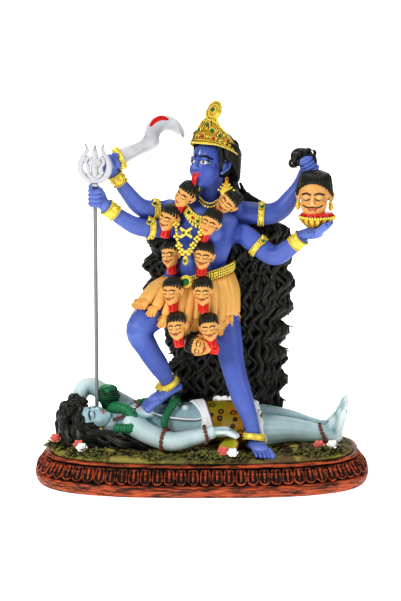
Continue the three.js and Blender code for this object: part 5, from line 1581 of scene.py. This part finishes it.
# %% The held head and its dish
HELD_TALL = 25 * MM
HELD_AXES = turning(-10, 0, 0)
held_centre = DISH_CENTRE + mm(-0.6, 0.6, 11.6)
held_paint = face_paint(head_model, "#E8AE66", "#C0503C", "#17130F", moustache=0.019, blush="#DE9636")
held_face = place_head("held_face", head_model, held_centre, HELD_AXES, HELD_TALL, held_paint, width=1.12)
finish(held_face, flesh_face, "painted_resin_flesh", "held_head", relief=(8, 0.35 * MM))
knot_line = [beside(held_centre, HELD_AXES, -0.5 * MM, 0, 0.42 * HELD_TALL),
             TOPKNOT_GRIP - Vector((0, 0, 3 * MM)), TOPKNOT_GRIP, her(28.6, -4, 83.4), her(27.6, -4, 85),
             her(26, -4, 84.4), her(25.6, -4, 82.6)]
held_hair = [ribbed_cap(held_centre + mm(0, 0.6, 0.7), HELD_AXES, HELD_TALL, ribs=23, grown=1.2, brow=0.34,
                        fall=0.12, crown=0.565)]
for k in range(5):
    shift = Vector((math.cos(k * 1.257), math.sin(k * 1.257), 0)) * 1.2 * MM
    held_hair.append(limb([point + shift for point in knot_line],
                          scaled(MM, 3.2, 1.7, 1.5, 2.6, 2.7, 2.2, 1.2), sides=10, rings=40))
curl_chance = np.random.default_rng(12)
for k in range(16):
    start = TOPKNOT_GRIP + Vector((curl_chance.uniform(-8.5, 3), curl_chance.uniform(-3.5, 2.5),
                                   curl_chance.uniform(0.5, 8))) * MM
    turn, wide = curl_chance.uniform(0, 6.3), curl_chance.uniform(1.6, 2.6)
    curl = [start + Vector((math.cos(turn + a) * wide, math.sin(turn) * a * 0.5,
                            math.sin(turn + a) * wide)) * MM
            for a in np.linspace(0, 5, 8)]
    held_hair.append(limb(curl, [0.5 * MM] + [1.0 * MM] * 6 + [0.4 * MM], sides=8, rings=24))
finish(gather("held_hair", held_hair), hair_paint, "painted_resin_flesh", relief=(4, 0.3 * MM))
bowl = [DISH_CENTRE + mm(1, 0, z) for z in (-7.2, -5.6, -3.2, -1.0, 0.2)]
dish = [limb(bowl, scaled(MM, 4.4, 6.2, 8.9, 10.2, 10.4), sides=64, rings=24, blunt=0.03,
             relief=lambda t, share: 1 + 0.035 * np.cos(16 * t) * (share < 0.8))]
dish.append(bead_string(ring_round(DISH_CENTRE + mm(1, 0, 0.3), (0, 0, 1), 10.3 * MM), 0.85 * MM))
for side in (-1, 1):
    lobe = beside(held_centre, HELD_AXES, side * 0.385 * HELD_TALL, 0.01 * HELD_TALL, -0.22 * HELD_TALL)
    dish.append(ball(lobe, scaled(MM, 1.5, 1.2, 2.4)))
    dish.append(ball(lobe + mm(0, 0, 2.6), (0.9 * MM,) * 3, segments=10, rings=7))
finish(gather("gold_dish", dish), gold_paint, "painted_resin_flesh", relief=(4, 0.3 * MM))
blood = limb([DISH_CENTRE + mm(1, 0, z) for z in (-0.4, 2.2)], scaled(MM, 9.9, 9.2), sides=72, rings=14,
             blunt=0.1, relief=lambda t, share: 1 + 0.03 * np.cos(22 * t) * (share > 0.3))
finish(named("dish_blood", blood), blood_red, "painted_resin_flesh", relief=(4, 0.3 * MM))

# %% [markdown]
# The god lies on his back with his legs side by side, one arm under his head and the other
# on his drum. He is clay too, in the same steps as the goddess.

# %% The reclining god
SLEEPER_TRUNK = [(-28, 1.6, 7.6, 6), (-21.5, 2, 7.6, 7.8), (-13, 2.3, 7.8, 7.6), (-4, 2.3, 8, 6.9),
                 (4, 2, 8.2, 7.2), (12, 1.8, 8.2, 7.6), (18, 1.6, 7.8, 6.8)]
SLEEPER_LEGS = [
    [(12, -3.2, 7, 6), (21, -3.4, 6.8, 5.7), (30, -1, 6.2, 4.5), (36, 0.2, 5.2, 3.9), (42, 0, 4.6, 3),
     (46.5, 0, 4, 2.9)],
    [(12, 4.8, 7.8, 6), (21, 5.4, 8, 5.7), (30, 5.6, 7.4, 4.5), (36, 5.8, 5.8, 3.9), (42, 5.6, 5, 3),
     (46.5, 5.4, 4.2, 2.9)]]
SLEEPER_ARMS = [
    [(-24, -4.4, 9.2, 4.2), (-18, -9, 6.6, 3.7), (-10.5, -13.4, 5.2, 3.4), (-3.5, -14.2, 6.7, 2.9),
     (3.5, -14, 8.6, 2.3)],
    [(-23, 8, 9.9, 3.9), (-31.4, 9.3, 15, 3.4), (-40, 9.9, 19.4, 3), (-43.6, 7.6, 15, 2.7),
     (-45.3, 4.6, 11.3, 2.4)]]
HIS_HEAD_CENTRE = his(-38.1, 0, 9.3)
HIS_FACE_TALL = 13.2 * HIS_UNIT
HIS_HEAD = Matrix((Vector((-0.05, 0.86, 0.5)).normalized(), Vector((-0.1, 0.5, -0.86)).normalized(),
                   Vector((-1, 0, 0.1)).normalized())).transposed()


def his_limb(rows, **settings):
    return limb([his(*row[:3]) for row in rows], [row[3] * HIS_UNIT for row in rows], **settings)


def sleeper_parts():
    parts = [his_limb(SLEEPER_TRUNK, sides=26, rings=40, flat=0.92, side=(0, 0, 1), blunt=0.3)]
    parts += [his_limb(rows, sides=16, rings=6 * len(rows)) for rows in SLEEPER_LEGS + SLEEPER_ARMS]
    parts.append(his_limb([(-34, 0.8, 8.6, 3.6), (-27, 1.4, 8, 4.4)]))
    for y in (-2.2, 5.6):
        parts.append(ball(his(-20.5, y, 12.4), scaled(HIS_UNIT, 4.6, 4.0, 2.4)))
        parts.append(ball(his(-19, y - 0.2, 14.8), (0.5 * HIS_UNIT,) * 3, segments=8, rings=6))
    for x in (-13.6, -9.6, -5.8):
        for y in (0.2, 4.2):
            parts.append(ball(his(x, y, 13.2), scaled(HIS_UNIT, 1.9, 2.0, 1.6)))
    for y in (0, 5.4):
        rows = [(46.8, y, 3, 2.9), (47.6, y, 7.4, 2.9), (49, y, 12, 2.9)]
        parts.append(bare_foot(rows, his, HIS_UNIT, (-1, 0, 0.15), 0.9))
        parts.append(ball(his(45.8, y, 3.6), scaled(HIS_UNIT, 3.4, 2.5, 3.0)))
        parts.append(his_limb([(44.6, y, 5.6, 2.4), (47, y, 9, 2.0)]))
    flat_on_drum = Matrix(((0, -1, 0), (1, 0, 0), (0, 0, 1)))
    parts.append(open_hand(his(3.8, -14, 8.8), flat_on_drum, 0.58 * HIS_UNIT, curl=-0.1, plump=1.7))
    return parts


shiva_skin = model_clay("shiva_skin", sleeper_parts(), 0.75 * MM, 4)
# Ash blue with green-grey painted shade in the hollows and a near-white painted highlight on the swellings,
# so that he looks cold beside her
pale_skin = painted_resin("ash_blue_skin_paint", "#A2C2C6", "#48747A", "#E0EEEC", mottle=0.3,
                          wash_and_shade=(0.48, 0.2))
finish(shiva_skin, pale_skin, "painted_resin_pale_blue", "shiva", relief=(26, 0.8 * MM), thinned=0.5)
his_paint = face_paint(head_model, "#A8C6CE", "#B8463C", "#101010")
his_face = place_head("shiva_face", head_model, HIS_HEAD_CENTRE, HIS_HEAD, HIS_FACE_TALL, his_paint)
# His face has the same green-grey painted shade in its hollows and pale painted highlight on its swellings
# as his body
finish(his_face, painted_resin("painted_ash_blue_face", None, "#4E7C84", "#D0E4E6", mottle=0.1),
       "painted_resin_pale_blue", relief=(8, 0.35 * MM))


def bundle(rows, count, spread, thick, seed):
    """A bundle of tapered wavy locks along a line: rows are places with the bundle's radius."""
    chance = np.random.default_rng(seed)
    parts = []
    share = np.linspace(0, 1, 30)
    line = smooth_line([tuple(his(*row[:3])) for row in rows], share)
    wide = smooth_line([row[3] * HIS_UNIT for row in rows], share)[:, 0]
    for k in range(count):
        turn, phase = 2 * math.pi * k / count, chance.uniform(0, 6)
        around = np.stack([0 * share, np.cos(turn + share * 2.5), np.sin(turn + share * 2.5)], 1)
        away = around * (wide * spread)[:, None]
        wave = np.stack([np.sin(share * 17 + phase), np.sin(share * 21 + phase),
                         np.cos(share * 19 + phase)], 1) * 1.1 * MM
        points = line + away + wave
        points[:, 2] = np.maximum(points[:, 2], PLINTH_TOP + GROUND_THICKNESS)
        radii = wide * thick * np.interp(share, [0, 0.2, 0.8, 1], [0.7, 1, 0.8, 0.25])
        parts.append(limb([Vector(point) for point in points], radii, sides=10, rings=48, flat=0.7,
                          relief=lambda t, s, a=phase: 1 + 0.12 * np.cos(3 * t + 4 * s + a)))
    return parts


his_hair = [ball(beside(HIS_HEAD_CENTRE, HIS_HEAD, 0, -1.4 * HIS_UNIT, 1.6 * HIS_UNIT),
                 Vector((5.1, 5.4, 5.6)) * HIS_UNIT, HIS_HEAD, 24, 16),
            bundle([(-43, 3, 11, 4.4), (-47.6, 1, 9, 5), (-47, -2.6, 5, 4.6), (-42, -5, 3, 3.4)], 16, 0.72,
                   0.3, 5),
            bundle([(-42, -1, 10, 5), (-43.4, -4, 6, 4.6), (-35.5, -5.4, 3.6, 3.6), (-27, -8, 2.8, 2.8),
                    (-17.4, -10.6, 1.8, 1.6)],
                   16, 0.72, 0.3, 6),
            bundle([(-41, 4, 13, 3), (-45, 5, 13.4, 3.6), (-49.6, 3, 9, 3), (-50, 0, 4, 2.4)], 12, 0.7,
                   0.34, 8)]
finish(gather("shiva_hair", his_hair), hair_paint, "painted_resin_pale_blue", relief=(4, 0.3 * MM),
       thinned=0.6)

# %% [markdown]
# A cobra lies round his neck with its hood raised behind him and its tail over his chest.
# Its scales are real relief: the limb's radius rises and falls round it and along it.

# %% The cobra
SCALE_PITCH = 150


def scaly(turn, share):
    """Scales as a swelling of the radius, in bands along the body and columns round it."""
    return 1 + (0.07 + 0.12 * np.cos(7 * turn)) * np.cos(share * SCALE_PITCH)


def cobra_parts():
    body = [(-31.6, 3.8, 11.5, 2.0), (-30.4, 0, 14, 1.9), (-26.6, -3.2, 14.2, 1.9), (-23, -6, 11, 1.8),
            (-24.6, -8, 8.6, 1.7), (-29.4, -6.6, 8.2, 1.6)]
    tail = [(-22, 3.4, 14.6, 1.5), (-15, 4.4, 15.4, 1.6), (-9.4, 3, 15.8, 1.6), (-9.8, -1, 15.8, 1.6),
            (-12, -4.4, 13, 1.4), (-13, -6.8, 9.8, 1.2), (-11.4, -8.4, 7, 0.5)]
    parts = [his_limb(body, sides=14, rings=90, relief=scaly),
             his_limb(tail, sides=14, rings=90, relief=scaly)]
    parts.append(his_limb([(-32.5, 3.6, 10.5, 1.8), (-32.6, 3.6, 14, 2.6), (-32.7, 3.4, 17, 4.0),
                           (-32.8, 3.0, 19.8, 3.0)],
                          sides=30, rings=40, flat=0.36, blunt=0.6, relief=scaly))
    parts.append(his_limb([(-32.8, 2.6, 19.4, 1.3), (-32.8, 1.0, 20.6, 1.4), (-32.8, -0.9, 20.2, 1.0)],
                          sides=14, rings=16, flat=0.7, side=(0, 0, 1)))
    return parts


# Where the coils lie close to one another, the near-black is painted shade
cobra_paint = painted_resin("scaled_green_paint", "#052414", "#010804", "#2E7E54", roughness=0.3,
                            wash_and_shade=(0.5, 0.3), brush_and_highlight=(0.55, 1.0), crevice=1.0 * MM)
finish(gather("cobra", cobra_parts()), cobra_paint, "painted_resin_pale_blue", relief=(3, 0.2 * MM))

# %% [markdown]
# Cloth on his hips: a leopard skin with ringed spots, held by a folded white waistband, and a
# ruffled edge on his thigh. A thin white thread runs across his chest, and rings of brown
# beads sit on his arms, ankles and neck.

# %% Loincloth, thread and beads
# The painted rings are about 6.5 mm apart, dark brown on a green-gold ground
def leopard_paint():
    made, tree, shader = new_material("leopard_skin_paint", 0.5)
    place = put(tree, "TexCoord").outputs["Object"]
    cells = put(tree, "TexVoronoi", {"Vector": place, "Scale": 1 / (6.5 * MM)})
    ring = between(tree, cells.outputs["Distance"], 0.34, 0.3)
    hole = between(tree, cells.outputs["Distance"], 0.17, 0.2)
    dark = put(tree, "Math", {0: ring, 1: hole}, operation="MULTIPLY").outputs[0]
    fur = mix(tree, between(tree, spots(tree, 8 * MM), 0.35, 0.65), "#A8741A", "#8E8C1E")
    tree.links.new(mix(tree, dark, fur, "#3A1A10"), shader.inputs["Base Color"])
    return made


skin_rows = [(-0.5, 2, 8.2, 7.5), (4, 1.9, 8.3, 7.8), (10, 1.8, 8.3, 8.2), (17.5, 1.7, 8.0, 8.3)]
leopard = his_limb(skin_rows, sides=44, rings=30, flat=0.93, side=(0, 0, 1), blunt=0.05,
                   relief=lambda t, share: 1 + 0.02 * np.cos(11 * t + 3 * share) * share)


def slanted(y, x):
    """How far the skin's upper edge runs to the feet on the near side, and to the head beyond."""
    towards_head = np.clip((17 * HIS_UNIT - x) / (18 * HIS_UNIT), 0, 1)
    return -(y / HIS_UNIT - 2.1) / 7.6 * 2.8 * HIS_UNIT * towards_head


skin_co = coordinates(leopard)
skin_co[:, 0] += slanted(skin_co[:, 1], skin_co[:, 0])
set_coordinates(leopard, skin_co)
flap = his_limb([(8, -1.6, 7.4, 6.2), (14, -3.2, 7.0, 6.6), (20.5, -3.4, 6.8, 6.2)], sides=32, rings=24,
                blunt=0.1)
finish(gather("leopard_skin", leopard, flap), leopard_paint(), "painted_resin_pale_blue",
       relief=(5, 0.3 * MM))
# Chalky white that turns lilac in the folds reads as thin cotton
white_cloth = painted_resin("white_cloth_paint", "#D8D4DC", "#8E80A4", "#FFFFFF", roughness=0.55)
cloth = []
for k in range(5):
    centre = his(-2.4 + k * 0.65, 2.1, 8.15)
    fold = [centre + Vector((0.7 * math.sin(3 * a + k) - math.cos(a) * 4.8,
                             math.cos(a) * (7.6 + 0.1 * k) * 1.72,
                             math.sin(a) * (7.1 + 0.1 * k) * 1.72)) * MM
            for a in np.linspace(0, 2 * math.pi, 25)]
    cloth.append(limb(fold, [1.1 * MM] * 25, sides=8, rings=80))


def ruffle(from_x, to_x, from_turn, to_turn, reach):
    """A wavy edge of cloth on his hips, from one place to another round them."""
    line = [his(from_x + (to_x - from_x) * t, 1.8 + math.cos(from_turn + (to_turn - from_turn) * t) * reach,
                8.2 + math.sin(from_turn + (to_turn - from_turn) * t) * reach * 0.93)
            + Vector((math.sin(t * 26), 0, math.cos(t * 21))) * 0.9 * MM for t in np.linspace(0, 1, 26)]
    return limb(line, [1.5 * MM] * 26, sides=10, rings=70, flat=0.7)


for step in range(3):
    cloth.append(ruffle(18 + step * 0.6, 17.6 + step * 0.6, 3.8, 1.6, 8.2 - 0.3 * step))
    cloth.append(ruffle(4.5 + step * 0.4, 13.5, 1.0 + 0.14 * step, 1.25 + 0.14 * step, 8.5))
hem = ring_round(his(20.6, -3.4, 6.8), (1, 0, 0.2), 6.3 * HIS_UNIT)
for shift in (-0.5, 0.5):
    wavy = [p + Vector((math.sin(k * 2.4) * 0.8 + shift, 0, math.cos(k * 2.4) * 0.5)) * MM
            for k, p in enumerate(hem)]
    cloth.append(limb(wavy, [1.3 * MM] * 17, sides=10, rings=60))
thread = [his(-27, -1.2, 14.6), his(-20, -3.6, 13.9), his(-12, -5.2, 11.8), his(-3, -4.9, 10.8),
          his(1, -4, 11.4)]
cloth.append(limb(thread, [0.55 * MM] * 5, sides=8, rings=60))
finish(gather("white_cloth", cloth), white_cloth, "painted_resin_pale_blue", relief=(6, 0.4 * MM))


def his_ring(x, y, z, axis, radius, bead):
    return bead_string(ring_round(his(x, y, z), axis, radius * HIS_UNIT), bead * MM)


beads = [his_ring(-12.6, -12.3, 5.6, (7.5, -3.2, -0.6), 3.75, 1.3),
         his_ring(1.4, -14.05, 8.2, (7, 0.2, 1.9), 2.6, 1.2),
         his_ring(-44.6, 5.6, 12.6, (1.7, 3, 3.7), 2.7, 1.1),
         his_ring(42.2, 0, 4.6, (4.5, 0, 1.8), 3.4, 1.25), his_ring(44, 5.5, 4.6, (4.5, 0, -0.6), 3.1, 1.2),
         bead_string([his(-30.5, -3.4, 10.5), his(-27, -4.4, 12.2), his(-23.4, -3.6, 13.9),
                      his(-22, -0.4, 15.2), his(-23.4, 3, 15.4)],
                     1.05 * MM)]
brown_bead_paint = painted_resin("dark_brown_bead_paint", "#321612", "#0E0605", "#7A4A3E")
finish(gather("brown_beads", beads), brown_bead_paint, "painted_resin_pale_blue", relief=(3, 0.3 * MM))
lobes = [ball(beside(HIS_HEAD_CENTRE, HIS_HEAD, side * 5.0 * HIS_UNIT, 0.2 * HIS_UNIT, -2.8 * HIS_UNIT),
              scaled(MM, 1.3, 1.3, 2.0))
         for side in (-1, 1)]
finish(gather("shiva_earrings", lobes), gold_paint, "painted_resin_pale_blue", relief=(3, 0.3 * MM))

# %% [markdown]
# His small drum has two heads and a narrow waist. The body is one limb drawn in at the
# middle, with a row of beads round each rim and a thin skin over the near head.

# %% The drum
drum_axis = Vector((0.42, 0.5, -0.75)).normalized()
drum_waist = his(10.6, -12.6, 1.0)
drum_line = [drum_waist + drum_axis * x * MM for x in (-6.8, -5, -2, 1.5, 5, 6.8)]
drum_body = limb(drum_line, scaled(MM, 6.2, 5.6, 3.2, 3.2, 4.9, 5.2), sides=32, rings=30, blunt=0.02)
rims = [bead_string(ring_round(drum_waist + drum_axis * x * MM, drum_axis, r * MM), 0.5 * MM)
        for x, r in ((-6.6, 6.1), (6.6, 5.2))]
brown_wood = painted_resin("brown_wood_paint", "#8A5A1E", "#3A200C", "#C89A50")
finish(gather("drum_body", drum_body, rims), brown_wood, "painted_resin_pale_blue", relief=(4, 0.3 * MM))
drum_skin = limb([drum_waist - drum_axis * 6.7 * MM, drum_waist - drum_axis * 7.3 * MM],
                 scaled(MM, 5.6, 5.5), sides=32, rings=10, blunt=0.05)
drum_skin_paint = painted_resin("olive_drum_skin_paint", "#A8A810", "#6A6A08", "#CFCF50")
finish(named("drum_skin", drum_skin), drum_skin_paint, "painted_resin_pale_blue", relief=(4, 0.3 * MM))

# %% [markdown]
# The model heads have done their work and are removed.

# %% Removing the model heads
bpy.data.objects.remove(head_model)
bpy.data.objects.remove(small_head)
